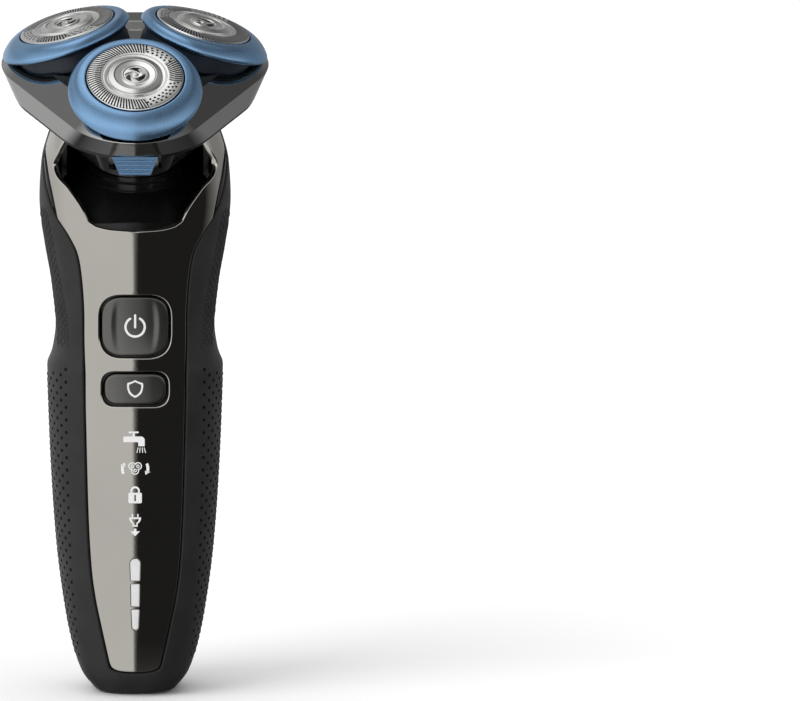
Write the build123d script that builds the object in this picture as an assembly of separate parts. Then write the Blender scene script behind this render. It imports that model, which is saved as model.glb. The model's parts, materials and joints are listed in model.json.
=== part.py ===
from build123d import *
import math
import os

# Three-head rotary electric shaver, as an assembly of separate pieces, in millimetres.
#
# Row frame: +Z up along the handle, the front panel faces -Y, the origin is the centre of the flat foot.
# The shaving unit has its own frame: its z axis is the neck axis, which leans forward, and its origin is
# the middle of the three shaving heads. Depths are measured down the neck axis from there.
# Each shaving head has a frame of its own, tipped outward: x points away from the neck axis.

# ---------------------------------------------------------------- driving dimensions
NECK_LEAN = 19.0  # neck axis, degrees forward of vertical
UNIT_Y, UNIT_Z = -8.7, 159.7  # middle of the three shaving heads
HEAD_CIRCLE = 19.0  # neck axis to a head's centre
HEAD_TIP = 17.0  # a head's axis leans out by this many degrees
HEAD_ANGLES = {"front": -90.0, "right": 30.0, "left": 150.0}

SKIN = 1.6  # front panel and grip thickness
SHELL = 1.4  # chassis wall under them
SQUARENESS = 2.7  # exponent of the handle's cross-section
FOOT_HALF_X, FOOT_HALF_Y = 9.6, 9.0

# Handle stations: height, half width, front y, back y
LOWER_BODY = [
    (0.0, FOOT_HALF_X, -FOOT_HALF_Y, FOOT_HALF_Y),
    (4.7, 13.1, -12.5, 12.7),
    (11.0, 15.2, -14.3, 15.1),
    (19.5, 16.95, -15.6, 17.1),
    (37.0, 19.2, -17.0, 19.0),
    (58.5, 20.6, -17.8, 20.1),
    (80.3, 21.4, -18.2, 20.8),
]
UPPER_BODY = [
    (80.3, 21.4, -18.2, 20.8),
    (83.6, 20.15, -18.2, 20.9),
    (90.3, 19.3, -18.2, 21.2),
    (100.6, 20.2, -18.3, 22.2),
    (110.0, 21.8, -18.5, 22.8),
    (121.0, 23.2, -18.8, 22.0),
    (130.0, 22.7, -18.8, 20.4),
    (137.0, 20.9, -18.2, 18.4),
    (146.0, 16.9, -15.5, 15.0),
]
TOP_Y, TOP_Z, TOP_SLOPE = -15.0, 137.6, 6.5  # the handle is cut off by this plane

SOCKET_Y = 4.6

# Half outline of the front panel, seen from the front: x, z
PANEL_SIDE = [
    (6.2, 8.6), (8.1, 17.5), (9.6, 25.0), (10.6, 33.0), (11.3, 46.0), (11.8, 66.0), (12.2, 86.0),
    (12.4, 98.0), (13.5, 108.0), (15.6, 113.0), (18.7, 117.6),
]
PANEL_HORN = [(18.7, 117.6), (19.8, 123.0), (21.0, 129.0), (21.7, 136.0), (20.0, 142.0)]
PANEL_FOOT_Z = 6.2
NOTCH_BASE = [(0.0, 115.1), (6.0, 115.5), (9.4, 116.2)]
NOTCH_SIDE = [(11.3, 117.4), (13.3, 121.2), (16.4, 125.4)]
NOTCH_SHOULDER = [(19.0, 128.0), (19.8, 131.0), (18.2, 134.2), (16.6, 137.0)]
COLLAR_R = 13.0
VALLEY_R = 16.6
COWL_WALL = 1.2
PANEL_GAP = 0.45
TRIM_EDGE = [(18.7, 117.6), (20.4, 121.5), (21.7, 127.0), (22.1, 134.0), (21.4, 142.0)]

POWER_BUTTON = (92.0, 17.4, 15.3, 6.2)  # height, width, height of its opening, corner radius
MODE_BUTTON = (76.7, 16.2, 8.5, 3.7)
BUTTON_GAP = 0.45
BUTTON_FLOOR, STEM_END, BEZEL_BACK = 2.6, -13.6, -13.4

# Shaving heads, in a head's own frame: z = 0 is the rim of the steel cap
CAP_R = 11.6
CAP_TRACK_Z = 0.45
SLOT_INNER, SLOT_OUTER = 8.3, 11.35
SLOT_COUNT, SLOT_WIDTH, SLOT_RAKE = 90, 0.32, 14.0
HOLE_ROWS = (8.9, 9.7, 10.5)
RING_BORE = 11.9
LIP_R, LIP_X, LIP_Z, LIP_TIP = 16.1, 1.25, -3.0, 4.5  # the lip is off centre and tipped further out
SKIRT_R, SKIRT_BORE, SKIRT_Z = 13.9, 12.7, -7.8
TILT_Z = -6.6  # pivot of a head's tilt
PIVOT_R = 0.7
CRADLE_R, CRADLE_BORE, CRADLE_TOP = 12.3, 11.0, -8.2
FLANGE_R = 12.4
HUB_R, SOCKET_R, SOCKET_END, HUB_BASE = 3.6, 2.6, -2.0, -6.0
BALL_R = 1.35
BLADES = 15

# Shaving unit outlines are three equal circles and their common tangents: circle offset, radius
SADDLE = (17.0, 11.5)
SADDLE_DEPTH = 6.0
CREASE = (17.5, 17.2)
CREASE_DEPTH = 9.9
SEAM = (10.5, 20.3)
SEAM_DEPTH = 15.3
WALL = 1.4
DECK_TOP, DECK_BASE = 13.5, 14.6
RIM_TOP, RIM_BASE = 15.4, 16.3
BOWL_TOP = (15.5, 12.0)
BOWL_LOW = (17.4, 9.7)
BOWL_LOW_DEPTH = 22.6
BOWL_FLOOR = 24.6
BOWL_END = (0.4, 11.2)
BOWL_END_DEPTH = 30.4
PLUG_R, PLUG_BORE, PLUG_DEPTH = 9.4, 7.9, 36.0
HINGE_Y, HINGE_DEPTH, HINGE_R = 25.6, 14.6, 0.8

# Gear train: module, teeth, face width and place
GEAR_MODULE = 0.8
WHEEL_TEETH, PINION_TEETH = 27, 17
GEAR_TOP, GEAR_BASE = 19.8, 22.0
PRESSURE = 20.0
BACKLASH = 0.16
SPINDLE_CIRCLE = GEAR_MODULE * (WHEEL_TEETH + PINION_TEETH) / 2
BALL_Z = -(HEAD_CIRCLE - SPINDLE_CIRCLE) / math.sin(math.radians(HEAD_TIP))  # where both axes meet

MOTOR_R, MOTOR_TOP, MOTOR_BASE = 8.0, 40.0, 57.0
BATTERY_R, BATTERY_LOW, BATTERY_HIGH, BATTERY_Y = 7.1, 13.0, 62.0, 4.5
BOARD_FRONT, BOARD_BACK = -9.6, -8.4
SWITCH_HEIGHT = 3.1
BAR_SPANS = [(29.5, 34.9, 2.5), (22.9, 28.7, 2.2), (17.1, 22.2, 1.9)]  # charge bars: low, high, width

UNIT = Plane(
    origin=(0, UNIT_Y, UNIT_Z),
    x_dir=(1, 0, 0),
    z_dir=(0, -math.sin(math.radians(NECK_LEAN)), math.cos(math.radians(NECK_LEAN))),
)


# ---------------------------------------------------------------- helpers
def save(node, *solids):
    """Writes one node, from one or more solids, as parts/NODE.step."""
    found = []
    for shape in solids:
        found += list(shape.solids())
    if not found:
        raise ValueError(f"{node} has no solid")
    export_step(found[0] if len(found) == 1 else Compound(children=found), f"parts/{node}.step")


def in_unit(shape):
    """Carries a shape from the shaving unit's frame to the row frame."""
    return UNIT.location * shape


def in_head(name, shape):
    """Carries a shape from a shaving head's frame to the row frame."""
    angle = HEAD_ANGLES[name]
    turn = math.radians(angle)
    centre = (HEAD_CIRCLE * math.cos(turn), HEAD_CIRCLE * math.sin(turn), 0)
    return UNIT.location * Location(centre, (0, 0, angle)) * Rotation(0, HEAD_TIP, 0) * shape


def at_depth(depth, shape):
    """Places a flat sketch or solid that far down the neck axis, in the unit's frame."""
    return Pos(0, 0, -depth) * shape


def disc(radius, low, high, bore=0.0):
    """Cylinder between two heights of the frame it is made in, with an optional bore."""
    body = Pos(0, 0, low) * Cylinder(radius, high - low, align=(Align.CENTER, Align.CENTER, Align.MIN))
    if bore:
        body -= Pos(0, 0, low - 1) * Cylinder(
            bore, high - low + 2, align=(Align.CENTER, Align.CENTER, Align.MIN)
        )
    return body


def turned(points):
    """Solid of revolution about z from (radius, height) corners."""
    outline = Polyline([(r, 0, z) for r, z in points], close=True)
    return revolve(Face(Wire(outline.edges())), Axis.Z)


def tri_round(offset, radius):
    """Sketch of three circles at the shaving heads' angles, with their common tangents."""
    points = []
    for angle in sorted(HEAD_ANGLES.values()):
        turn = math.radians(angle)
        points.append((offset * math.cos(turn), offset * math.sin(turn)))
    return make_hull([Pos(x, y) * CenterArc((0, 0), radius, 0, 360) for x, y in points])


def station(stations, z):
    """Half width, front y and back y at one height, by monotone cubic interpolation of the stations."""
    heights = [row[0] for row in stations]
    steps = [b - a for a, b in zip(heights, heights[1:])]
    i = 0
    while i < len(steps) - 1 and z > heights[i + 1]:
        i += 1
    t = (z - heights[i]) / steps[i]
    values = []
    for k in (1, 2, 3):
        slopes = [(b[k] - a[k]) / h for a, b, h in zip(stations, stations[1:], steps)]
        tangents = [slopes[0]]
        for j in range(1, len(slopes)):
            tangent = 0.0
            if slopes[j - 1] * slopes[j] > 0:
                w1, w2 = 2 * steps[j] + steps[j - 1], steps[j] + 2 * steps[j - 1]
                tangent = (w1 + w2) / (w1 / slopes[j - 1] + w2 / slopes[j])
            tangents.append(tangent)
        tangents.append(slopes[-1])
        values.append(
            (2 * t**3 - 3 * t**2 + 1) * stations[i][k]
            + (t**3 - 2 * t**2 + t) * steps[i] * tangents[i]
            + (3 * t**2 - 2 * t**3) * stations[i + 1][k]
            + (t**3 - t**2) * steps[i] * tangents[i + 1]
        )
    return values


def body_section(z, half, front, back):
    """Closed cross-section of the handle at one height: a front and a back spline."""
    middle = (front + back) / 2
    depth = (back - front) / 2
    edges = []
    for side in (-1, 1):
        points = []
        for i in range(15):
            turn = math.pi * i / 14
            c, s = math.cos(turn), math.sin(turn)
            x = -side * math.copysign(abs(c) ** (2 / SQUARENESS), c) * half
            points.append((x, middle + side * abs(s) ** (2 / SQUARENESS) * depth, z))
        points[0], points[-1] = (-side * half, middle, z), (side * half, middle, z)
        edges += Spline(points, tangents=[(0, side, 0), (0, -side, 0)]).edges()
    return Wire(edges)


def body(inset=0.0):
    """Whole handle shape, two lofts that share one section, with its wall drawn inward by inset."""
    shared = UPPER_BODY[0][0]
    faces = []
    for stations, count in ((LOWER_BODY, 16), (UPPER_BODY, 14)):
        low, high = max(stations[0][0], inset), stations[-1][0]
        sections = []
        for i in range(count + 1):
            z = low + (high - low) * i / count
            half, front, back = station(stations, 0.0 if z <= inset else z)
            sections.append(body_section(z, half - inset, front + inset, back - inset))
        part = Solid.make_loft(sections)
        faces += [face for face in part.faces() if abs(face.center().Z - shared) > 0.01]
    return Solid(Shell(faces))


def top_block():
    """Everything above the handle's slanted top."""
    cut = Plane(
        origin=(0, TOP_Y, TOP_Z),
        x_dir=(1, 0, 0),
        z_dir=(0, -math.sin(math.radians(TOP_SLOPE)), math.cos(math.radians(TOP_SLOPE))),
    )
    return cut.location * Box(120, 160, 60, align=(Align.CENTER, Align.CENTER, Align.MIN))


def front_prism(edges, back_y, front_y=-40.0):
    """Prism of an outline drawn as (x, z) edges, from front_y back to back_y."""
    face = Face(Wire(edges))
    return extrude(face, amount=back_y - front_y, dir=(0, 1, 0))


def mirrored_outline(runs, y=-40.0):
    """Edges of an outline symmetric about x = 0, from smooth runs of its right half."""
    edges = []
    for run in runs:
        for side in (1, -1):
            points = [(side * x, y, z) for x, z in run]
            line = Line(points[0], points[1]) if len(points) == 2 else Spline(points)
            edges += line.edges()
    return edges


def front_region(edge, grow=0.0, back_y=-4.5):
    """Prism over the front panel's outline, with edge as its upper side."""
    side = [(x + grow, z) for x, z in PANEL_SIDE]
    top = [(x + grow, z) for x, z in edge]
    foot_z = PANEL_FOOT_Z - grow
    corner = (4.2, foot_z + 0.35)
    runs = [
        [(0, foot_z), (2.2, foot_z + 0.06), corner],
        [corner, (5.6 + grow, foot_z + 1.1), side[0]],
        side,
        top,
        [top[-1], (top[-1][0], 175.0)],
        [(top[-1][0], 175.0), (0, 175.0)],
    ]
    return front_prism(mirrored_outline(runs), back_y)


def notch_region(grow=0.0, back_y=2.0):
    """Prism of the front notch that the neck stands in."""
    base = [(x, z - grow) for x, z in NOTCH_BASE]
    side = [(x + grow, z - 0.4 * grow) for x, z in NOTCH_SIDE]
    shoulder = [(x + grow, z) for x, z in NOTCH_SHOULDER]
    runs = [
        base,
        [base[-1], side[0]],
        side,
        [side[-1], *shoulder],
        [shoulder[-1], (shoulder[-1][0], 175.0)],
        [(shoulder[-1][0], 175.0), (0, 175.0)],
    ]
    return front_prism(mirrored_outline(runs), back_y)


def above_floor(drop=0.0):
    """Space above the cowl's sloping floor, a cone about the neck axis."""
    return in_unit(
        turned([(0, -33.6 - drop), (COLLAR_R, -33.6 - drop), (40, -45.5 - drop), (40, 20), (0, 20)])
    )


def button_prism(button, gap=0.0, front_y=-40.0, back_y=0.0):
    """Prism of a button's rounded outline, drawn in by gap."""
    z, width, height, corner = button
    face = RectangleRounded(width - 2 * gap, height - 2 * gap, corner - gap)
    placed = Plane(origin=(0, front_y, z), x_dir=(1, 0, 0), z_dir=(0, 1, 0)) * face
    return extrude(placed, amount=back_y - front_y, dir=(0, 1, 0))


def gear(teeth, low, high, bore, turn=0.0):
    """Involute spur gear about z, thinned by the backlash."""
    pitch = GEAR_MODULE * teeth / 2
    base = pitch * math.cos(math.radians(PRESSURE))
    tip, root = pitch + GEAR_MODULE * 0.9, pitch - GEAR_MODULE * 1.15
    involute = math.tan(math.radians(PRESSURE)) - math.radians(PRESSURE)
    half_tooth = (math.pi * GEAR_MODULE / 2 - BACKLASH) / (2 * pitch) + involute
    start = max(base, root)
    flank = []
    for i in range(5):
        radius = start + (tip - start) * i / 4
        roll = math.sqrt(max((radius / base) ** 2 - 1, 0))
        flank.append((radius, half_tooth - (roll - math.atan(roll))))
    edges = []
    step = 2 * math.pi / teeth
    for tooth in range(teeth):
        middle = math.radians(turn) + tooth * step
        right = [(r * math.cos(middle - a), r * math.sin(middle - a)) for r, a in flank]
        left = [(r * math.cos(middle + a), r * math.sin(middle + a)) for r, a in reversed(flank)]
        foot_a, foot_b = middle - flank[0][1], middle + flank[0][1]
        root_a = (root * math.cos(foot_a), root * math.sin(foot_a))
        root_b = (root * math.cos(foot_b), root * math.sin(foot_b))
        next_a = middle + step - flank[0][1]
        gap_middle = (foot_b + next_a) / 2
        edges += Line(root_a, right[0]).edges()
        edges += Spline(right).edges()
        edges += Line(right[-1], left[0]).edges()
        edges += Spline(left).edges()
        edges += Line(left[-1], root_b).edges()
        edges += ThreePointArc(
            root_b,
            (root * math.cos(gap_middle), root * math.sin(gap_middle)),
            (root * math.cos(next_a), root * math.sin(next_a)),
        ).edges()
    blank = Pos(0, 0, low) * extrude(Face(Wire(edges)), amount=high - low)
    return blank - disc(bore, low - 1, high + 1)


def bowl_loft(grow=0.0):
    """The shaving unit's under-bowl, from its rim down to the neck."""
    stages = [
        (BOWL_TOP, RIM_BASE),
        (BOWL_LOW, BOWL_LOW_DEPTH),
        (BOWL_END, BOWL_END_DEPTH),
    ]
    solid = None
    for (upper, upper_depth), (lower, lower_depth) in zip(stages, stages[1:]):
        part = loft(
            [
                at_depth(lower_depth, tri_round(lower[0], lower[1] + grow)),
                at_depth(upper_depth, tri_round(upper[0], upper[1] + grow)),
            ],
            ruled=True,
        )
        solid = part if solid is None else solid + part
    return solid


def shell_loft(grow=0.0, low_depth=SEAM_DEPTH):
    """The chrome shell's outer form, or its inner form with a negative grow."""
    lower = loft(
        [
            at_depth(low_depth, tri_round(SEAM[0], SEAM[1] + grow)),
            at_depth(CREASE_DEPTH, tri_round(CREASE[0], CREASE[1] + grow)),
        ],
        ruled=True,
    )
    upper = loft(
        [
            at_depth(CREASE_DEPTH, tri_round(CREASE[0], CREASE[1] + grow)),
            at_depth(SADDLE_DEPTH - grow, tri_round(SADDLE[0], SADDLE[1] + grow)),
        ],
        ruled=True,
    )
    return lower + upper


def lip_circle(radius, z, tip_scale=1.0, x=LIP_X):
    """A ring's cross-section circle, moved off centre and tipped like its lip."""
    return Pos(x * tip_scale, 0, z) * Rotation(0, LIP_TIP * tip_scale, 0) * Circle(radius)


# ---------------------------------------------------------------- handle
os.makedirs("parts", exist_ok=True)

outer = body(0)
under_skin = body(SKIN)
inside = body(SKIN + SHELL)
above_top = top_block()
bowl_space = in_unit(bowl_loft(0.9))
rim_space = in_unit(disc(30, -RIM_BASE, 10))
notch, well = notch_region(), in_unit(disc(VALLEY_R, -60, 0))
notch_wall, well_wall = notch_region(COWL_WALL), in_unit(disc(VALLEY_R + COWL_WALL, -60, 0))
power_hole = button_prism(POWER_BUTTON)
mode_hole = button_prism(MODE_BUTTON)
socket_well = Pos(0, SOCKET_Y, -1) * Box(9.4, 6, 11, align=(Align.CENTER, Align.CENTER, Align.MIN))

skin = outer - under_skin - above_top - bowl_space - rim_space

bars = []
for low, high, width in BAR_SPANS:
    outline = Plane(origin=(0, -40, (low + high) / 2), x_dir=(1, 0, 0), z_dir=(0, 1, 0)) * RectangleRounded(
        width, high - low, 0.45
    )
    bars.append(extrude(outline, amount=35, dir=(0, 1, 0)))
bar_holes = bars[0] + bars[1] + bars[2]

front_panel = (skin & front_region(PANEL_HORN)) - notch - well - power_hole - mode_hole - bar_holes
save("front_panel", front_panel)
save("charge_bars", skin & bar_holes)
grip = skin - front_region(TRIM_EDGE, PANEL_GAP) - notch - well - socket_well
save("grip_shell", *[piece for piece in grip.solids() if piece.volume > 5])
trims = (skin & (front_region(TRIM_EDGE) - front_region(PANEL_HORN, PANEL_GAP))) - notch - well
save("side_trims", *[piece for piece in trims.solids() if piece.volume > 5])

chassis = under_skin - inside - above_top - bowl_space - rim_space - notch_wall - well_wall
chassis = chassis - power_hole - mode_hole - socket_well
save("chassis", *[piece for piece in chassis.solids() if piece.volume > 5])

# Black lining of the notch: its wall, its sloping floor and the tube round the neck
tube = in_unit(disc(13.4, -38.4, -33.6))
plug_hole = in_unit(disc(PLUG_R + 0.35, -45, -20))
lining = ((under_skin & notch_wall) + (under_skin & well_wall)) & above_floor(1.6)
cowl = lining - (notch & above_floor()) - (well & above_floor())
cowl = (cowl - above_top - bowl_space - rim_space) + tube - plug_hole


def button(node, opening, stem):
    """A button cap that follows the handle's face, sunk a little, with its switch stem."""
    dome = outer & button_prism(opening, BUTTON_GAP)
    cap = dome - Pos(0, BUTTON_FLOOR, 0) * outer
    z = opening[0]
    back = BUTTON_FLOOR + min(y for _, _, y, _ in UPPER_BODY)
    rod = Plane(origin=(0, back, z), x_dir=(1, 0, 0), z_dir=(0, 1, 0)) * Circle(stem)
    save(node, cap + extrude(rod, amount=STEM_END - back, dir=(0, 1, 0)))


def bezel(node, opening):
    """Frame round a button, behind the front panel and inside the chassis opening."""
    z, width, height, corner = opening
    ring = button_prism(opening) - button_prism(opening, 0.35)
    frame = ring & under_skin
    rear = button_prism((z, width + 2.4, height + 2.4, corner + 1.2), 0, -40, BEZEL_BACK)
    rear -= button_prism(opening, 0.35, -41, 1)
    save(node, (frame & button_prism(opening, 0, -40, BEZEL_BACK)) + (rear & inside))


button("power_button", POWER_BUTTON, 1.6)
button("mode_button", MODE_BUTTON, 1.4)
bezel("power_bezel", POWER_BUTTON)
bezel("mode_bezel", MODE_BUTTON)

# Inside the handle
cell = Pos(0, BATTERY_Y, 0) * disc(BATTERY_R, BATTERY_LOW, BATTERY_HIGH)
cell += Pos(0, BATTERY_Y, 0) * disc(2.4, BATTERY_HIGH, BATTERY_HIGH + 0.8)
save("battery_cell", cell)
tab_top = Pos(0, BATTERY_Y - 3.3, BATTERY_HIGH + 0.95) * Box(4, 11, 0.3)
tab_low = Pos(0, BATTERY_Y - 3.3, BATTERY_LOW - 0.15) * Box(4, 11, 0.3)
save("battery_tabs", tab_top, tab_low)

board = Plane(origin=(0, BOARD_FRONT, 0), x_dir=(1, 0, 0), z_dir=(0, -1, 0)) * (
    Pos(0, 63) * RectangleRounded(19, 74, 2) + Pos(0, 20) * RectangleRounded(14, 16, 2)
)
save("circuit_board", extrude(board, amount=-(BOARD_BACK - BOARD_FRONT)))
parts = []
for x, z, w, h, t in (
    (0, POWER_BUTTON[0], 6, 6, SWITCH_HEIGHT), (0, MODE_BUTTON[0], 5, 5, SWITCH_HEIGHT),
    (0, 50.0, 9, 9, 1.2), (-5.5, 62.0, 5, 4, 1.6),
    (5.0, 63.0, 4, 6, 2.0), (0, 32.2, 2, 2, 1.0), (0, 25.8, 2, 2, 1.0), (0, 19.7, 2, 2, 1.0),
):
    parts.append(Pos(x, BOARD_FRONT - t / 2, z) * Box(w, t, h))
save("board_parts", *parts)

housing = Pos(0, SOCKET_Y, 0) * Box(9.4, 6, 10, align=(Align.CENTER, Align.CENTER, Align.MIN))
housing -= Pos(0, SOCKET_Y, 0) * extrude(SlotOverall(7.6, 4.2), amount=8.5)
pins = [Pos(x, SOCKET_Y, 0) * disc(0.5, 2.0, 11.4) for x in (-1.6, 1.6)]
for pin in pins:
    housing -= pin
save("socket_housing", housing)
save("socket_pins", *pins)

# Neck, seal, motor and their screws, in the unit's frame
screw_ring = [(11.6 * math.cos(math.radians(a)), 11.6 * math.sin(math.radians(a))) for a in (45, 135, 270)]
bracket = disc(13.4, -39.6, -38.4, 4.2)
screws = []
for x, y in screw_ring:
    shank = Pos(x, y, 0) * (disc(0.8, -39.6, -35.4) + disc(1.5, -40.6, -39.6))
    shank -= Pos(x, y, -40.6) * Box(2.0, 0.4, 0.8)
    screws.append(in_unit(shank))
    bracket -= Pos(x, y, 0) * disc(0.8, -40, -38)
save("motor_bracket", in_unit(bracket))
save("screws", *screws)
cowl = max(cowl.solids(), key=lambda piece: piece.volume)
for screw in screws:
    cowl -= screw
save("neck_cowl", cowl)

collar = disc(COLLAR_R, -33.6, -31.9, PLUG_R + 0.35) + disc(12.2, -31.9, -BOWL_END_DEPTH, PLUG_R + 0.35)
save("neck_collar", in_unit(collar))
save("shaft_seal", in_unit(disc(PLUG_R + 0.35, -38.4, -37.2, 3.9)))
can = disc(MOTOR_R, -MOTOR_BASE, -MOTOR_TOP) - disc(MOTOR_R - 0.6, -MOTOR_BASE - 1, -MOTOR_TOP - 0.6)
can += disc(2.6, -MOTOR_TOP, -39.6)
can -= disc(1.3, -MOTOR_TOP - 2, -39)
save("motor_can", in_unit(can))
end_cap = disc(MOTOR_R, -MOTOR_BASE - 1.6, -MOTOR_BASE) + disc(2.4, -MOTOR_BASE - 2.4, -MOTOR_BASE - 1.6)
end_cap -= disc(1.05, -MOTOR_BASE - 1.4, -MOTOR_BASE + 1)
save("motor_end_cap", in_unit(end_cap))

shaft_low, shaft_high = -MOTOR_BASE - 1.2, -38.0
save("motor_shaft", in_unit(disc(1.0, shaft_low, shaft_high)))
armature = disc(MOTOR_R - 1.2, -54.5, -43.0, 1.0)
for i in range(5):
    slot = Rotation(0, 0, 72 * i) * Pos(5.6, 0, -49) * Box(3.2, 1.4, 14)
    armature -= slot
save("armature", in_unit(armature))
hexagon = Plane.XY * RegularPolygon(1.7, 6, major_radius=False)
cup = disc(3.4, -38.8, -33.2) - Pos(0, 0, -37.4) * extrude(hexagon, amount=10) - disc(1.0, -40, -38.0)
save("drive_cup", in_unit(cup))


# ---------------------------------------------------------------- shaving unit, base
bowl = bowl_loft()
room = loft(
    [
        at_depth(BOWL_LOW_DEPTH, tri_round(BOWL_LOW[0], BOWL_LOW[1] - WALL)),
        at_depth(RIM_TOP - 1, tri_round(BOWL_TOP[0] - 0.4, BOWL_TOP[1] - WALL)),
    ],
    ruled=True,
)
funnel = loft(
    [
        at_depth(BOWL_END_DEPTH, tri_round(BOWL_END[0], BOWL_END[1] - 1.6)),
        at_depth(BOWL_FLOOR, tri_round(BOWL_LOW[0] - 1.6, BOWL_LOW[1] - 2.2)),
    ],
    ruled=True,
)
rim = at_depth(RIM_BASE, extrude(tri_round(SEAM[0], SEAM[1] - 0.5), amount=RIM_BASE - RIM_TOP))
plug = disc(PLUG_R, -PLUG_DEPTH, -BOWL_END_DEPTH + 1.2)
base = bowl + rim - room - funnel + plug
base -= disc(PLUG_BORE, -PLUG_DEPTH - 1, -BOWL_FLOOR - 2)
base += disc(3.4, -28.0, -BOWL_FLOOR + 0.5) - disc(1.65, -40, 0)
base -= disc(1.65, -29, -20)
spindle_spots = []
for angle in HEAD_ANGLES.values():
    turn = math.radians(angle)
    spot = Pos(SPINDLE_CIRCLE * math.cos(turn), SPINDLE_CIRCLE * math.sin(turn), 0)
    spindle_spots.append(spot)
    base -= spot * disc(1.05, -24.0, -20)
button_slot = Pos(0, -28.1, -18.35) * Box(12.6, 9.8, 5.9)
base -= button_slot
base -= Pos(0, HINGE_Y + 0.4, -15.6) * Box(8.7, 4.6, 3.4)
for x in (-5.6, 5.6):
    knuckle = Pos(x, HINGE_Y, -HINGE_DEPTH) * Rotation(0, 90, 0) * Cylinder(1.7, 2.6)
    stand = Pos(x, HINGE_Y - 0.6, -HINGE_DEPTH - 1.2) * Box(2.6, 2.2, 2.2)
    eye = Pos(x, HINGE_Y, -HINGE_DEPTH) * Rotation(0, 90, 0) * Cylinder(HINGE_R, 4)
    base += knuckle + stand - eye
    base -= eye
save("under_bowl", in_unit(max(base.solids(), key=lambda piece: piece.volume)))

cover = extrude(at_depth(18.8, tri_round(BOWL_LOW[0] - 0.9, BOWL_TOP[1] - WALL - 1.4)), amount=1.2)
for spot in spindle_spots:
    cover -= spot * disc(1.05, -20, -16)
cover -= disc(1.65, -20, -16)
cover -= button_slot
save("gear_cover", in_unit(max(cover.solids(), key=lambda piece: piece.volume)))
pin = Pos(0, HINGE_Y, -HINGE_DEPTH) * Rotation(0, 90, 0) * Cylinder(HINGE_R, 14.4)
save("hinge_pin", in_unit(pin))

# Gear train. The wheel has a tooth at angle 0; each pinion is turned to put a gap on the line of centres.
wheel = gear(WHEEL_TEETH, -GEAR_BASE, -GEAR_TOP, 1.0)
wheel += disc(1.6, -31.0, -18.0)
hex_bar = Pos(0, 0, -36.6) * extrude(RegularPolygon(1.5, 6, major_radius=False), amount=5.7)
save("centre_wheel", in_unit(wheel + hex_bar + disc(2.6, -22.4, -22.0)))
for index, (name, angle) in enumerate(HEAD_ANGLES.items()):
    phase = math.radians(angle) * WHEEL_TEETH / (2 * math.pi) % 1.0
    turn_by = angle + 180 + (0.5 + phase) * 360 / PINION_TEETH
    pinion = gear(PINION_TEETH, -GEAR_BASE, -GEAR_TOP, 0.6, turn_by)
    tip = Pos(0, 0, BALL_Z * math.cos(math.radians(HEAD_TIP))) * Sphere(BALL_R)
    rod = disc(1.0, -23.8, BALL_Z)
    collar_ring = disc(1.8, -22.4, -22.0)
    save(f"spindle_{name}", in_unit(spindle_spots[index] * (pinion + rod + tip + collar_ring)))

# ---------------------------------------------------------------- shaving unit, hinged top
shell = shell_loft() - shell_loft(-WALL, SEAM_DEPTH + 1)
shell -= Pos(0, 0, -SEAM_DEPTH - 20) * Box(120, 120, 20, align=(Align.CENTER, Align.CENTER, Align.MIN))
hinge_block = Pos(0, 24.2, -4.6) * Box(15, 4.6, 9.3, align=(Align.CENTER, Align.CENTER, Align.MAX))
hinge_block += Pos(0, HINGE_Y - 0.5, -HINGE_DEPTH) * Rotation(0, 90, 0) * Cylinder(1.5, 8.2)
shell += hinge_block
eye = Pos(0, HINGE_Y, -HINGE_DEPTH) * Rotation(0, 90, 0) * Cylinder(HINGE_R + 0.05, 30)
shell -= eye
for x in (-5.6, 5.6):
    shell -= Pos(x, HINGE_Y - 0.4, -HINGE_DEPTH - 0.4) * Box(3.0, 5.4, 5.0)
shell = in_unit(shell)
for name in HEAD_ANGLES:
    pocket = disc(SKIRT_R + 0.75, -16, 8)
    lower = lip_circle(LIP_R + 0.45, LIP_Z - 1.2)
    upper = lip_circle(LIP_R + 0.45, LIP_Z + 12.0)
    pocket += loft([lower, upper])
    shell -= in_head(name, pocket)
save("head_shell", max(shell.solids(), key=lambda piece: piece.volume))

deck_outline = tri_round(SEAM[0] + 1.2, SEAM[1] - WALL - 0.9)
deck = Pos(0, 0, -DECK_BASE) * extrude(deck_outline, amount=DECK_BASE - DECK_TOP)
for spot in spindle_spots:
    deck -= spot * disc(6.5, -16, -12)
deck -= eye
for x in (-5.6, 5.6):
    deck -= Pos(x, HINGE_Y - 0.4, -HINGE_DEPTH - 0.4) * Box(3.0, 6.4, 5.0)
deck -= hinge_block
save("head_deck", in_unit(max(deck.solids(), key=lambda piece: piece.volume)))

above_deck = in_unit(disc(60, -DECK_TOP, 20))
pin_axis = Rotation(90, 0, 0)
for name in HEAD_ANGLES:
    cradle = disc(CRADLE_R, -20, CRADLE_TOP, CRADLE_BORE)
    for side in (1, -1):
        lug = Pos(0, side * (CRADLE_BORE + CRADLE_R) / 2, (CRADLE_TOP - 5.75) / 2) * Box(
            3.0, CRADLE_R - CRADLE_BORE, -5.75 - CRADLE_TOP
        )
        stud = Pos(0, side * 12.7, TILT_Z) * pin_axis * Cylinder(PIVOT_R, 2.4)
        cradle += lug + stud
    placed = in_head(name, cradle) & above_deck
    save(f"cradle_{name}", max(placed.solids(), key=lambda piece: piece.volume))

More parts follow.
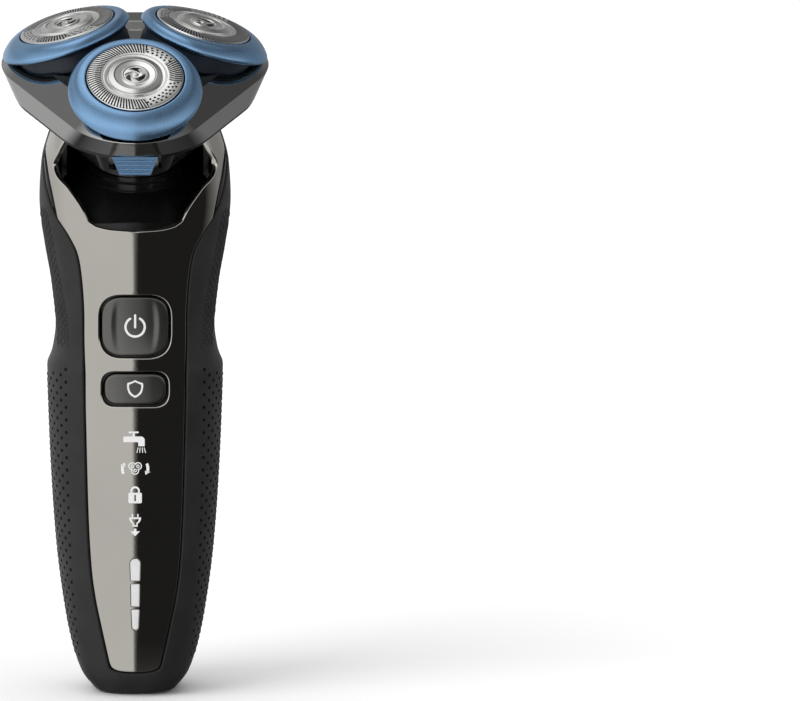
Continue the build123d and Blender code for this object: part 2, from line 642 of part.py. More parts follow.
release = Plane(origin=(0, -30.0, 0), x_dir=(1, 0, 0), z_dir=(0, 1, 0)) * make_face(
    Polyline((-5.5, 15.75), (5.5, 15.75), (3.7, 20.6), (-3.7, 20.6), close=True).edges()
)
release = extrude(release, amount=3.4, dir=(0, 1, 0))
for depth in (16.9, 18.0, 19.1, 20.2):
    release += Pos(0, -30.0, -depth) * Rotation(0, 90, 0) * Cylinder(0.3, 2 * (5.2 - (depth - 16) * 0.36))
release += Pos(0, -25.6, -17.95) * Box(9, 2.2, 2.7)
save("release_button", in_unit(release))


# ---------------------------------------------------------------- shaving heads
def skin_ring():
    """Blue ring: a dome from the cap out to an off-centre lip, and a skirt down round the cradle."""
    stages = [
        (lip_circle(SKIRT_R, SKIRT_Z, 0), lip_circle(SKIRT_R, LIP_Z - 1.0, 0.35)),
        (lip_circle(SKIRT_R, LIP_Z - 1.0, 0.35), lip_circle(LIP_R - 0.25, LIP_Z - 0.45)),
        (lip_circle(LIP_R - 0.25, LIP_Z - 0.45), lip_circle(LIP_R, LIP_Z)),
        (lip_circle(LIP_R, LIP_Z), lip_circle(15.5, LIP_Z + 1.25, 0.85)),
        (lip_circle(15.5, LIP_Z + 1.25, 0.85), lip_circle(14.4, -0.75, 0.5)),
        (lip_circle(14.4, -0.75, 0.5), lip_circle(13.1, -0.2, 0.2)),
        (lip_circle(13.1, -0.2, 0.2), lip_circle(RING_BORE + 0.1, 0, 0)),
    ]
    ring = None
    for low, high in stages:
        part = loft([low, high], ruled=True)
        ring = part if ring is None else ring + part
    ring -= disc(RING_BORE, -10, 2)
    ring -= disc(SKIRT_BORE, -10, -2.95)
    for side in (1, -1):
        ring -= Pos(0, side * 13.6, TILT_Z) * pin_axis * Cylinder(PIVOT_R + 0.05, 4)
    return ring


def steel_cap():
    """Thin steel cup with radial slots in its track, rows of holes, and a seat for the centre."""
    cap = turned(
        [
            (6.6, 0.2), (CAP_R - 0.25, 0.2), (CAP_R - 0.25, -3.4), (FLANGE_R, -3.4), (FLANGE_R, -3.0),
            (CAP_R, -3.0), (CAP_R, 0.2), (CAP_R - 0.25, CAP_TRACK_Z), (6.6, CAP_TRACK_Z),
        ]
    )
    cap -= turned([(7.3, 0.33), (7.75, 0.33), (7.75, 1), (7.3, 1)])
    cuts = []
    for i in range(SLOT_COUNT):
        angle = 360 / SLOT_COUNT * i
        holes = 123 < angle < 161 or 19 < angle < 77
        if not holes:
            slot = Pos((SLOT_INNER + SLOT_OUTER) / 2, 0, 0.2) * Rotation(0, 0, SLOT_RAKE) * Box(
                SLOT_OUTER - SLOT_INNER, SLOT_WIDTH, 1.2
            )
            cuts.append(Rotation(0, 0, angle) * slot)
        elif i % 2 == 0:
            for row, radius in enumerate(HOLE_ROWS):
                cuts.append(
                    Rotation(0, 0, angle + 2.6 * row) * Pos(radius, 0, 0.2) * Cylinder(0.24, 1.2)
                )
    return cap - cuts


def cap_centre():
    """Plate in the middle of a cap: bright cone, sunk face and a hub with three curved windows."""
    plate = turned(
        [
            (0, 0.2), (6.6, 0.2), (6.6, 0.7), (6.1, 0.95), (5.2, 0.95), (4.7, 0.7), (3.5, 0.7), (3.2, 1.0),
            (2.8, 1.0), (2.6, 0.8), (1.0, 0.8), (0.8, 1.15), (0, 1.15),
        ]
    )
    for i in range(3):
        window = Rotation(0, 0, 120 * i) * (
            Pos(1.85, 0.2, 0.6) * Rotation(0, 0, 22) * extrude(SlotOverall(2.3, 0.8, rotation=90), amount=1)
        )
        plate -= window
    return plate


def retainer():
    """Perforated ring that holds the cutter in the cap."""
    frame = disc(FLANGE_R, -4.4, -3.7, 9.9)
    for i in range(12):
        frame -= Rotation(0, 0, 30 * i) * Pos(11.2, 0, -4) * Cylinder(0.45, 2)
    return frame


def cutter():
    """Cutter: hub with a drive socket, a thin disc and upright raked blades."""
    body_of = disc(HUB_R, HUB_BASE, -1.4) + disc(10.7, -3.3, -2.5)
    body_of -= disc(SOCKET_R, HUB_BASE - 1, SOCKET_END)
    for i in range(6):
        body_of -= Rotation(0, 0, 60 * i) * Pos(6.0, 0, -3) * Cylinder(1.2, 3)
    blade = Pos(9.6, 0, -1.2) * Rotation(12, 0, 18) * Box(2.5, 0.5, 2.66)
    for i in range(BLADES):
        body_of += Rotation(0, 0, 360 / BLADES * i) * blade
    return body_of


ring, cap, centre, frame, knife = skin_ring(), steel_cap(), cap_centre(), retainer(), cutter()
for name in HEAD_ANGLES:
    save(f"skin_ring_{name}", in_head(name, ring))
    save(f"cap_{name}", in_head(name, cap))
    save(f"cap_centre_{name}", in_head(name, centre))
    save(f"retainer_{name}", in_head(name, frame))
    save(f"cutter_{name}", in_head(name, knife))
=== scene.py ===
import json
import math

import bmesh
import bpy
import numpy as np
from mathutils import Matrix, Vector
from mathutils.geometry import delaunay_2d_cdt


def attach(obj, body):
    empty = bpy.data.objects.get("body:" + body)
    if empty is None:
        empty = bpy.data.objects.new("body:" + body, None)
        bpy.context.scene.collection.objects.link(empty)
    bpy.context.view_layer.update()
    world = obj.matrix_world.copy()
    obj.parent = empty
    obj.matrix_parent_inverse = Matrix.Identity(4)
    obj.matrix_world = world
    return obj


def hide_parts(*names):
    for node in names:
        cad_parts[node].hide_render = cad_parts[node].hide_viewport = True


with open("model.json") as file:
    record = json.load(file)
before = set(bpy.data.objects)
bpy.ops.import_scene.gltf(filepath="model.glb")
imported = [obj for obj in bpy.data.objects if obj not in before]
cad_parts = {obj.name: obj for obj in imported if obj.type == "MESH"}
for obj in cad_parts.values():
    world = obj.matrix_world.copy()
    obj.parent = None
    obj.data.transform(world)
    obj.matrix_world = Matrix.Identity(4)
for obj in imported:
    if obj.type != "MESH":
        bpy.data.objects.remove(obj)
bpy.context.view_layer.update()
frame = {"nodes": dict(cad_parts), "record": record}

# Looks for the rotary shaver. Lengths are in millimetres and are scaled to metres when a mesh is made.
# The handle's skin is drawn on a flat sheet: its first coordinate is the angle round the handle times GIRTH,
# its second the height. Outlines are filled on that sheet and then wrapped on to the surface.
MM = 0.001
GIRTH = 20.0
FAR = 1e9
SEAM_JUMP = 3.0

# ---------------------------------------------------------------- the handle's surface, as in the CAD model
SQUARENESS = 2.7
LOWER_BODY = [
    (0.0, 9.6, -9.0, 9.0), (4.7, 13.1, -12.5, 12.7), (11.0, 15.2, -14.3, 15.1), (19.5, 16.95, -15.6, 17.1),
    (37.0, 19.2, -17.0, 19.0), (58.5, 20.6, -17.8, 20.1), (80.3, 21.4, -18.2, 20.8),
]
UPPER_BODY = [
    (80.3, 21.4, -18.2, 20.8), (83.6, 20.15, -18.2, 20.9), (90.3, 19.3, -18.2, 21.2),
    (100.6, 20.2, -18.3, 22.2), (110.0, 21.8, -18.5, 22.8), (121.0, 23.2, -18.8, 22.0),
    (130.0, 22.7, -18.8, 20.4), (137.0, 20.9, -18.2, 18.4), (146.0, 16.9, -15.5, 15.0),
]
SHELF_Z = 80.3
SKIN = 1.6
TOP_Y, TOP_Z, TOP_SLOPE = -15.0, 137.6, math.radians(6.5)
PANEL_SIDE = [
    (6.2, 8.6), (8.1, 17.5), (9.6, 25.0), (10.6, 33.0), (11.3, 46.0), (11.8, 66.0), (12.2, 86.0),
    (12.4, 98.0), (13.5, 108.0), (15.6, 113.0), (18.7, 117.6),
]
PANEL_HORN = [(18.7, 117.6), (19.8, 123.0), (21.0, 129.0), (21.7, 136.0), (20.0, 142.0)]
TRIM_EDGE = [(18.7, 117.6), (20.4, 121.5), (21.7, 127.0), (22.1, 134.0), (21.4, 142.0)]
PANEL_FOOT_Z = 6.2
NOTCH_BASE = [(0.0, 115.1), (6.0, 115.5), (9.4, 116.2)]
NOTCH_SIDE = [(11.3, 117.4), (13.3, 121.2), (16.4, 125.4)]
NOTCH_SHOULDER = [(16.4, 125.4), (19.0, 128.0), (19.8, 131.0), (18.2, 134.2), (16.6, 137.0)]
PANEL_GAP = 0.45
PANEL_EASE = (72.0, 92.0)
POWER_BUTTON = (92.0, 17.4, 15.3, 6.2)
MODE_BUTTON = (76.7, 16.2, 8.5, 3.7)
FACE_INSET = 0.52

# Shaving unit
LEAN, TIP = math.radians(19.0), math.radians(17.0)
UNIT_Y, UNIT_Z = -8.7, 159.7
HEAD_CIRCLE = 19.0
HEAD_ANGLES = {"front": -90.0, "right": 30.0, "left": 150.0}
LIP_X, LIP_Z, LIP_TIP = 1.25, -3.0, math.radians(4.5)
SKIRT_R, SKIRT_Z = 13.9, -7.8

UNIT = Matrix.Translation((0, UNIT_Y, UNIT_Z)) @ Matrix.Rotation(LEAN, 4, "X")


def head_matrix(name):
    """Place of a shaving head's own frame in the row frame."""
    turn = math.radians(HEAD_ANGLES[name])
    centre = Matrix.Translation((HEAD_CIRCLE * math.cos(turn), HEAD_CIRCLE * math.sin(turn), 0))
    return UNIT @ centre @ Matrix.Rotation(turn, 4, "Z") @ Matrix.Rotation(TIP, 4, "Y")


def station(z):
    """Half width, front y and back y of the handle at one height: monotone cubic through the stations."""
    rows = LOWER_BODY if z <= SHELF_Z else UPPER_BODY
    steps = [b[0] - a[0] for a, b in zip(rows, rows[1:])]
    i = 0
    while i < len(steps) - 1 and z > rows[i + 1][0]:
        i += 1
    t = (z - rows[i][0]) / steps[i]
    values = []
    for k in (1, 2, 3):
        slopes = [(b[k] - a[k]) / h for a, b, h in zip(rows, rows[1:], steps)]
        tangents = [slopes[0]]
        for j in range(1, len(slopes)):
            tangent = 0.0
            if slopes[j - 1] * slopes[j] > 0:
                w1, w2 = 2 * steps[j] + steps[j - 1], steps[j] + 2 * steps[j - 1]
                tangent = (w1 + w2) / (w1 / slopes[j - 1] + w2 / slopes[j])
            tangents.append(tangent)
        tangents.append(slopes[-1])
        values.append(
            (2 * t**3 - 3 * t**2 + 1) * rows[i][k]
            + (t**3 - 2 * t**2 + t) * steps[i] * tangents[i]
            + (3 * t**2 - 2 * t**3) * rows[i + 1][k]
            + (t**3 - t**2) * steps[i] * tangents[i + 1]
        )
    return values


TABLE_STEP = 0.25
TABLE_Z = np.arange(0, 146 + TABLE_STEP, TABLE_STEP)
TABLE = np.array([station(z) for z in TABLE_Z])


def stations(z):
    """station() for an array of heights, from a table."""
    return [np.interp(z, TABLE_Z, TABLE[:, k]) for k in range(3)]


def wrap(sheet, sink=0.0):
    """Points on the handle's surface from sheet coordinates, sunk inward by an amount each."""
    sheet = np.asarray(sheet, float)
    z = sheet[:, 1]

    def at(girth, height):
        half, front, back = stations(height)
        middle, depth = (front + back) / 2, (back - front) / 2
        angle = girth / GIRTH
        s, c = np.sin(angle), np.cos(angle)
        radius = (np.abs(s / half) ** SQUARENESS + np.abs(c / depth) ** SQUARENESS) ** (-1 / SQUARENESS)
        return np.stack([radius * s, middle - radius * c, height], axis=1)

    point = at(sheet[:, 0], z)
    across = at(sheet[:, 0] + 0.05, z) - at(sheet[:, 0] - 0.05, z)
    up = at(sheet[:, 0], z + 0.3) - at(sheet[:, 0], z - 0.3)
    normal = np.cross(across, up)
    normal /= np.linalg.norm(normal, axis=1)[:, None]
    return point - normal * np.asarray(sink).reshape(-1, 1), normal


def on_front(points):
    """Sheet coordinates of (x, z) points seen from the front."""
    points = np.asarray(points, float)
    half, front, back = stations(points[:, 1])
    depth = (back - front) / 2
    x = np.clip(points[:, 0], -half * 0.9995, half * 0.9995)
    forward = depth * (1 - np.abs(x / half) ** SQUARENESS) ** (1 / SQUARENESS)
    return np.stack([np.arctan2(x, forward) * GIRTH, points[:, 1]], axis=1)


# ---------------------------------------------------------------- flat outlines
def resample(points, spacing, closed=False):
    """Points at even spacing along a polyline."""
    points = np.asarray(points, float)
    if closed:
        points = np.vstack([points, points[:1]])
    lengths = np.linalg.norm(np.diff(points, axis=0), axis=1)
    total = np.concatenate([[0], np.cumsum(lengths)])
    count = max(int(round(total[-1] / spacing)), 2)
    at = np.linspace(0, total[-1], count + 1)
    out = np.stack([np.interp(at, total, points[:, k]) for k in range(2)], axis=1)
    return out[:-1] if closed else out


def smooth_line(points, steps=14):
    """Catmull-Rom curve through the points."""
    points = [np.array(p, float) for p in points]
    if len(points) == 2:
        return np.array(points)
    padded = [2 * points[0] - points[1]] + points + [2 * points[-1] - points[-2]]
    out = []
    for a, b, c, d in zip(padded, padded[1:], padded[2:], padded[3:]):
        for i in range(steps):
            t = i / steps
            out.append(
                0.5 * (2 * b + (c - a) * t + (2 * a - 5 * b + 4 * c - d) * t**2
                       + (3 * b - a - 3 * c + d) * t**3)
            )
    out.append(points[-1])
    return np.array(out)


def rounded_box(z, width, height, corner, grow=0.0, power=2.6):
    """Outline of a button, counter-clockwise, as (x, z)."""
    width, height = width + 2 * grow, height + 2 * grow
    corner = max(corner + grow, 0.2)
    out = []
    for quarter in range(4):
        sx = 1 if quarter in (0, 3) else -1
        sz = 1 if quarter in (0, 1) else -1
        for i in range(17):
            t = (i / 16 if quarter in (0, 2) else 1 - i / 16) * math.pi / 2
            x = sx * (width / 2 - corner + corner * math.cos(t) ** (2 / power))
            zz = sz * (height / 2 - corner + corner * math.sin(t) ** (2 / power))
            out.append((x, z + zz))
    return np.array(out)


def inside(points, loops):
    """Even-odd test of points against closed loops."""
    points = np.asarray(points, float)
    result = np.zeros(len(points), bool)
    for loop in loops:
        a = np.asarray(loop)
        b = np.roll(a, -1, axis=0)
        for (x1, y1), (x2, y2) in zip(a, b):
            hit = (y1 > points[:, 1]) != (y2 > points[:, 1])
            if hit.any():
                cross = (x2 - x1) * (points[:, 1] - y1) / ((y2 - y1) or 1e-12) + x1
                result ^= hit & (points[:, 0] < cross)
    return result


def edge_distance(points, loops):
    """Distance from each point to the nearest loop."""
    points = np.asarray(points, float)
    best = np.full(len(points), FAR)
    for loop in loops:
        a = np.asarray(loop)
        b = np.roll(a, -1, axis=0)
        for start, end in zip(a, b):
            d = end - start
            t = np.clip(((points - start) @ d) / max(d @ d, 1e-12), 0, 1)
            gap = np.linalg.norm(points - start - t[:, None] * d, axis=1)
            best = np.minimum(best, gap)
    return best


def offset_points(loop, distance):
    """A loop's points moved sideways to its left by a distance."""
    ahead = np.roll(loop, -1, axis=0) - np.roll(loop, 1, axis=0)
    normal = np.stack([-ahead[:, 1], ahead[:, 0]], axis=1)
    normal /= np.maximum(np.linalg.norm(normal, axis=1), 1e-9)[:, None]
    return loop + normal * distance


def fill(loops, spacing, rims=(0.12, 0.3, 0.55)):
    """Triangles inside closed loops, with extra rows of points along the edges."""
    boundary = np.vstack(loops)
    low, high = boundary.min(axis=0), boundary.max(axis=0)
    candidates = []
    for row, z in enumerate(np.arange(low[1], high[1], spacing * 0.866)):
        x = np.arange(low[0] + (row % 2) * spacing / 2, high[0], spacing)
        candidates.append(np.stack([x, np.full(len(x), z)], axis=1))
    grid = np.vstack(candidates)
    grid = grid[inside(grid, loops)]
    widest = rims[-1] if rims else 0
    grid = grid[edge_distance(grid, loops) > widest + spacing * 0.35]
    extra = []
    for rim in rims:
        for loop in loops:
            for side in (1, -1):
                moved = offset_points(loop, rim * side)
                moved = moved[inside(moved, loops)]
                if len(moved):
                    extra.append(moved[edge_distance(moved, loops) > rim * 0.9])
    points = np.vstack([boundary, *extra, grid])
    edges, start = [], 0
    for loop in loops:
        n = len(loop)
        edges += [(start + i, start + (i + 1) % n) for i in range(n)]
        start += n
    verts, _, faces, origins, _, _ = delaunay_2d_cdt([Vector(p) for p in points], edges, [], 0, 1e-5)
    flat = np.array([tuple(v) for v in verts])
    faces = np.array([f for f in faces if len(f) == 3])
    centres = flat[faces].mean(axis=1)
    faces = faces[inside(centres, loops)]
    loop_index = []
    new_of = {}
    for new, sources in enumerate(origins):
        for source in sources:
            new_of[source] = new
    start = 0
    for loop in loops:
        loop_index.append([new_of.get(start + i) for i in range(len(loop))])
        start += len(loop)
    return flat, faces, loop_index


# ---------------------------------------------------------------- meshes
def make_object(name, verts, faces, material, smooth=True):
    """A mesh object from millimetre vertices, with a material."""
    mesh = bpy.data.meshes.new(name)
    points = [tuple(np.asarray(v) * MM) for v in verts]
    mesh.from_pydata(points, [], [tuple(int(i) for i in f) for f in faces])
    mesh.validate()
    mesh.update()
    bm = bmesh.new()
    bm.from_mesh(mesh)
    bmesh.ops.remove_doubles(bm, verts=bm.verts, dist=1e-6)
    bmesh.ops.recalc_face_normals(bm, faces=bm.faces)
    bm.to_mesh(mesh)
    bm.free()
    for polygon in mesh.polygons:
        polygon.use_smooth = smooth
    obj = bpy.data.objects.new(name, mesh)
    bpy.context.scene.collection.objects.link(obj)
    mesh.materials.append(material)
    return obj


def skin_piece(name, loops, material, spacing=0.9, edge=0.35, thickness=SKIN, relief=None, sink=0.0,
               rims=(0.1, 0.22, 0.38, 0.6), free=None):
    """A piece of the handle's skin: outlines on the sheet, rounded edges and side walls.

    edge is the rounding, or a list with one for each loop. free tells which loop points lie on a real edge:
    the others get no rounding and no wall.
    """
    flat, faces, loop_index = fill(loops, spacing, rims)
    gap = np.full(len(flat), FAR)
    if free is not None:
        for loop in loops:
            chain = loop[free(loop)]
            for start, end in zip(chain, chain[1:]):
                if np.linalg.norm(end - start) < SEAM_JUMP:
                    gap = np.minimum(gap, edge_distance(flat, [np.array([start, end])]))
    elif isinstance(edge, list):
        widest = max(edge)
        for loop, own in zip(loops, edge):
            gap = np.minimum(gap, edge_distance(flat, [loop]) + widest - own)
        edge = widest
    else:
        gap = edge_distance(flat, loops)
    drop = np.where(gap < edge, edge - np.sqrt(np.maximum(edge**2 - (edge - gap) ** 2, 0)), 0) + sink
    if relief is not None:
        drop = drop - relief(flat)
    points, _ = wrap(flat, drop)
    verts, all_faces = list(points), [tuple(f) for f in faces]
    for loop, index in zip(loops, loop_index):
        real = np.ones(len(loop), bool) if free is None else free(loop)
        deep, _ = wrap(loop, np.full(len(loop), sink + thickness))
        base = len(verts)
        verts += list(deep)
        n = len(loop)
        for i in range(n):
            j = (i + 1) % n
            if index[i] is None or index[j] is None or not (real[i] and real[j]):
                continue
            all_faces.append((index[i], index[j], base + j, base + i))
    return make_object(name, verts, all_faces, material)


# ---------------------------------------------------------------- materials
def new_material(name, colour, rough=0.4, metal=0.0, spec=0.5):
    """A Principled material and its parts."""
    material = bpy.data.materials.new(name)
    material.use_nodes = True
    tree = material.node_tree
    shader = tree.nodes["Principled BSDF"]
    shader.inputs["Base Color"].default_value = (*colour, 1)
    shader.inputs["Roughness"].default_value = rough
    shader.inputs["Metallic"].default_value = metal
    shader.inputs["Specular IOR Level"].default_value = spec
    return material, tree, shader


def object_noise(tree, scale, detail=4.0, stretch=(1, 1, 1)):
    """Noise in the object's own coordinates, in cycles per metre."""
    place = tree.nodes.new("ShaderNodeTexCoord")
    mapping = tree.nodes.new("ShaderNodeMapping")
    mapping.inputs["Scale"].default_value = stretch
    noise = tree.nodes.new("ShaderNodeTexNoise")
    noise.inputs["Scale"].default_value = scale
    noise.inputs["Detail"].default_value = detail
    tree.links.new(place.outputs["Object"], mapping.inputs["Vector"])
    tree.links.new(mapping.outputs["Vector"], noise.inputs["Vector"])
    return noise


def vary(tree, noise, target, low, high):
    """Drives an input between two values by a noise."""
    spread = tree.nodes.new("ShaderNodeMapRange")
    spread.inputs["From Min"].default_value = 0.3
    spread.inputs["From Max"].default_value = 0.7
    spread.inputs["To Min"].default_value = low
    spread.inputs["To Max"].default_value = high
    tree.links.new(noise.outputs["Fac"], spread.inputs["Value"])
    tree.links.new(spread.outputs["Result"], target)


def tint(tree, noise, shader, dark, light):
    """Varies the base colour between two near tones by a noise."""
    ramp = tree.nodes.new("ShaderNodeValToRGB")
    ramp.color_ramp.elements[0].position = 0.32
    ramp.color_ramp.elements[1].position = 0.68
    ramp.color_ramp.elements[0].color = (*dark, 1)
    ramp.color_ramp.elements[1].color = (*light, 1)
    tree.links.new(noise.outputs["Fac"], ramp.inputs["Fac"])
    tree.links.new(ramp.outputs["Color"], shader.inputs["Base Color"])


def add_bump(tree, noise, shader, distance, strength=1.0):
    """Fine relief in the surface's shading."""
    bump = tree.nodes.new("ShaderNodeBump")
    bump.inputs["Strength"].default_value = strength
    bump.inputs["Distance"].default_value = distance
    tree.links.new(noise.outputs["Fac"], bump.inputs["Height"])
    tree.links.new(bump.outputs["Normal"], shader.inputs["Normal"])


def surface(name, colour, rough, tones, gloss, bump=None, metal=0.0, spec=0.5):
    """A material with varied tone and roughness and fine relief.

    tones is (noise, dark, light), gloss is (noise, low, high) and bump is (noise, distance, strength), where
    noise is the arguments of object_noise.
    """
    material, tree, shader = new_material(name, colour, rough, metal, spec)
    noise, dark, light = tones
    tint(tree, object_noise(tree, *noise), shader, tuple(dark), tuple(light))
    noise, low, high = gloss
    vary(tree, object_noise(tree, *noise), shader.inputs["Roughness"], low, high)
    if bump:
        noise, distance, strength = bump
        add_bump(tree, object_noise(tree, *noise), shader, distance, strength)
    return material


def rubber(name="rubber"):
    tones = ((90, 5), (0.0125,) * 3, (0.0175,) * 3)
    return surface(name, (0.03,) * 3, 0.5, tones, ((140, 6), 0.44, 0.56), ((5200, 3), 0.00002, 0.5),
                   spec=0.42)


def dark_chrome(name="dark_chrome", colour=(0.535, 0.515, 0.475), rough=(0.02, 0.04)):
    tone = np.array(colour)
    return surface(name, colour, 0.1, ((30, 3), tone * 0.97, tone * 1.03), ((400, 6, (1, 1, 0.15)), *rough),
                   ((1800, 2), 0.000004, 0.12), metal=1.0)


def gloss_black(name="gloss_black", tone=0.006, rough=(0.1, 0.2)):
    return surface(name, (tone,) * 3, 0.14, ((60, 4), (tone * 0.85,) * 3, (tone * 1.2,) * 3),
                   ((220, 6), *rough), ((900, 3), 0.00001, 0.08), spec=0.45)


def moulded(name, colour, rough=(0.42, 0.6)):
    tone = np.array(colour)
    return surface(name, colour, 0.5, ((120, 5), tone * 0.9, tone * 1.1), ((300, 6), *rough),
                   ((4200, 4), 0.00002, 0.35))


def blue_metal(name="blue_metal"):
    tones = ((70, 4), (0.215, 0.385, 0.61), (0.228, 0.402, 0.632))
    return surface(name, (0.27, 0.46, 0.72), 0.3, tones, ((500, 6), 0.25, 0.3), ((3500, 2), 0.000002, 0.06),
                   metal=0.92)


def turned_steel(name="turned_steel"):
    """Steel with fine turning marks round the piece's own axis."""
    tones = ((260, 4), (0.8, 0.8, 0.79), (0.86, 0.86, 0.85))
    material = surface(name, (0.72, 0.72, 0.71), 0.25, tones, ((700, 4), 0.17, 0.22),
                       ((1400, 2), 0.000002, 0.08), metal=1.0)
    tree = material.node_tree
    shader = tree.nodes["Principled BSDF"]
    shader.inputs["Anisotropic"].default_value = 0.6
    tangent = tree.nodes.new("ShaderNodeTangent")
    tangent.direction_type = "RADIAL"
    tangent.axis = "Z"
    tree.links.new(tangent.outputs["Tangent"], shader.inputs["Tangent"])
    return material


def steel(name="steel", tone=0.66, rough=(0.14, 0.28)):
    return surface(name, (tone, tone, tone * 0.985), 0.24, ((240, 5), (tone * 0.92,) * 3, (tone * 1.05,) * 3),
                   ((1600, 6), *rough), ((2600, 4), 0.00001, 0.2), metal=1.0)


def white_print(name="white_print", tone=0.8):
    return surface(name, (tone,) * 3, 0.5, ((800, 4), (tone * 0.96,) * 3, (tone,) * 3), ((900, 4), 0.45, 0.6))


RUBBER, CHROME, BLACK = rubber(), dark_chrome(), gloss_black()
BUTTON = dark_chrome("button_metal", (0.17, 0.168, 0.16), (0.27, 0.33))
SHELL_CHROME = dark_chrome("shell_chrome", (0.47, 0.47, 0.465), (0.06, 0.1))
BLUE, STEEL, PRINT = blue_metal(), steel(), white_print()
BY_SLOT = {
    "rubber_dark": RUBBER, "chrome_dark": CHROME, "black_gloss": BLACK, "button_metal": BUTTON,
    "blue_metal": BLUE, "steel": STEEL, "light_guide": white_print("light_guide", 0.72),
    "black_matt": moulded("black_matt", (0.022, 0.022, 0.023)),
    "grey_plastic": moulded("grey_plastic", (0.2, 0.21, 0.22)),
    "gear_plastic": moulded("gear_plastic", (0.72, 0.7, 0.62), (0.3, 0.45)),
    "cell_wrap": moulded("cell_wrap", (0.05, 0.22, 0.11), (0.2, 0.35)),
    "board_green": moulded("board_green", (0.015, 0.1, 0.05), (0.25, 0.4)),
    "nickel": steel("nickel", 0.68), "copper_iron": steel("copper_iron", 0.3, (0.3, 0.5)),
}
for entry in frame["record"]["subparts"]:
    node = frame["nodes"].get(entry["node"])
    if node is not None:
        node.data.materials.clear()
        node.data.materials.append(BY_SLOT[entry["material_slot"]])
# The cradles take the black matt material so that their pins, poking out under the rings, read as the shade
# there: painted shade.
for name, material in (("head_shell", SHELL_CHROME), ("cradle_front", BY_SLOT["black_matt"]),
                       ("cradle_right", BY_SLOT["black_matt"]), ("cradle_left", BY_SLOT["black_matt"])):
    frame["nodes"][name].data.materials[0] = material


def place(obj, body, *nodes, slot=None):
    """Rides a body and stands for its CAD nodes."""
    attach(obj, body)
    if nodes:
        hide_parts(*nodes)
    return obj


# ---------------------------------------------------------------- handle skin
def front_limit(line, back_y=-4.5):
    """Keeps (x, z) points where the skin still faces forward of back_y."""
    line = np.array(line, float)
    half, front, back = stations(line[:, 1])
    middle, depth = (front + back) / 2, (back - front) / 2
    reach = half * (1 - np.abs((back_y - middle) / depth) ** SQUARENESS) ** (1 / SQUARENESS)
    line[:, 0] = np.minimum(line[:, 0], reach)
    return line


def slanted_top(y):
    """Height of the handle's slanted top."""
    return TOP_Z + (y - TOP_Y) * math.tan(TOP_SLOPE)


def clip_top(line):
    """Cuts an upward (x, z) line off at the handle's slanted top."""
    kept = []
    for x, z in line:
        point, _ = wrap(on_front([(x, z)]))
        top = slanted_top(point[0][1])
        if z > top:
            kept.append((x, top))
            break
        kept.append((x, z))
    return np.array(kept)


def panel_half(edge, grow=0.0):
    """Right half of the front opening's outline from the bottom centre up to the slanted top, (x, z)."""
    foot = smooth_line([(0, PANEL_FOOT_Z - grow), (2.2, PANEL_FOOT_Z - grow + 0.06),
                        (4.2, PANEL_FOOT_Z - grow + 0.35), (5.6 + grow, PANEL_FOOT_Z - grow + 1.1),
                        (6.2 + grow, 8.6)], 6)
    side = smooth_line([(x + grow, z) for x, z in PANEL_SIDE], 12)
    upper = smooth_line([(x + grow, z) for x, z in edge], 16)
    line = np.vstack([foot, side[1:], upper[1:]])
    return clip_top(front_limit(line))


def mirror_loop(half_line):
    """Closed loop from a right half that starts at the bottom centre and ends at the top centre."""
    left = np.array(half_line[::-1]) * (-1, 1)
    return np.vstack([half_line, left[1:-1]])


def notch_half():
    """Right half of the notch from its bottom centre up to a horn's tip, (x, z)."""
    base = smooth_line(NOTCH_BASE, 8)
    side = smooth_line(NOTCH_SIDE, 10)
    shoulder = smooth_line(NOTCH_SHOULDER, 10)
    return clip_top(np.vstack([base, side, shoulder[1:]]))


outer_edge, notch_edge = panel_half(PANEL_HORN), notch_half()
panel_outline = mirror_loop(np.vstack([outer_edge, notch_edge[::-1]]))
button_loops = [on_front(resample(rounded_box(*spec), 0.45, True)) for spec in (POWER_BUTTON, MODE_BUTTON)]


def bar_outline(low, high, low_width, high_width, low_round, high_round, grow=0.0):
    """A charge bar: tapered, with its own corner rounding at each end, (x, z)."""
    points = []
    ends = ((low, low_width, low_round, -90), (high, high_width, high_round, 0))
    for z, width, corner, quarter in ends:
        inward = 1 if quarter else -1
        turn = np.radians(np.linspace(quarter, quarter + 90, 8))
        cx, cz = width / 2 + grow - corner, z + inward * (corner - grow)
        points += [(cx + corner * math.cos(t), cz + corner * math.sin(t)) for t in turn]
    right = np.array(points)
    return np.vstack([right, (right * (-1, 1))[::-1]])


bar_specs = [(29.4, 34.9, 2.2, 2.46, 0.12, 1.15), (22.95, 28.6, 1.94, 2.1, 0.12, 0.12),
             (17.1, 22.2, 1.5, 1.9, 0.72, 0.12)]
bar_loops = [on_front(resample(bar_outline(*spec), 0.2, True)) for spec in bar_specs]
panel_loop = on_front(resample(panel_outline, 0.6, True))


def over_shelf(flat):
    """Carries the front panel smoothly past the height where the grip steps in."""
    low, high = PANEL_EASE
    ends = [wrap(np.stack([flat[:, 0], np.full(len(flat), z)], 1))[0][:, 1] for z in PANEL_EASE]
    share = np.clip((flat[:, 1] - low) / (high - low), 0, 1)
    eased = ends[0] + (ends[1] - ends[0]) * share
    here = wrap(flat)[0][:, 1]
    within = (flat[:, 1] > low) & (flat[:, 1] < high)
    return np.where(within, here - eased, 0)


panel = skin_piece("front_panel_skin", [panel_loop, *button_loops, *bar_loops], CHROME, 0.9,
                   [0.18, 0.32, 0.32, 0.04, 0.04, 0.04], relief=over_shelf)
place(panel, "handle", "front_panel", slot="chrome_dark")


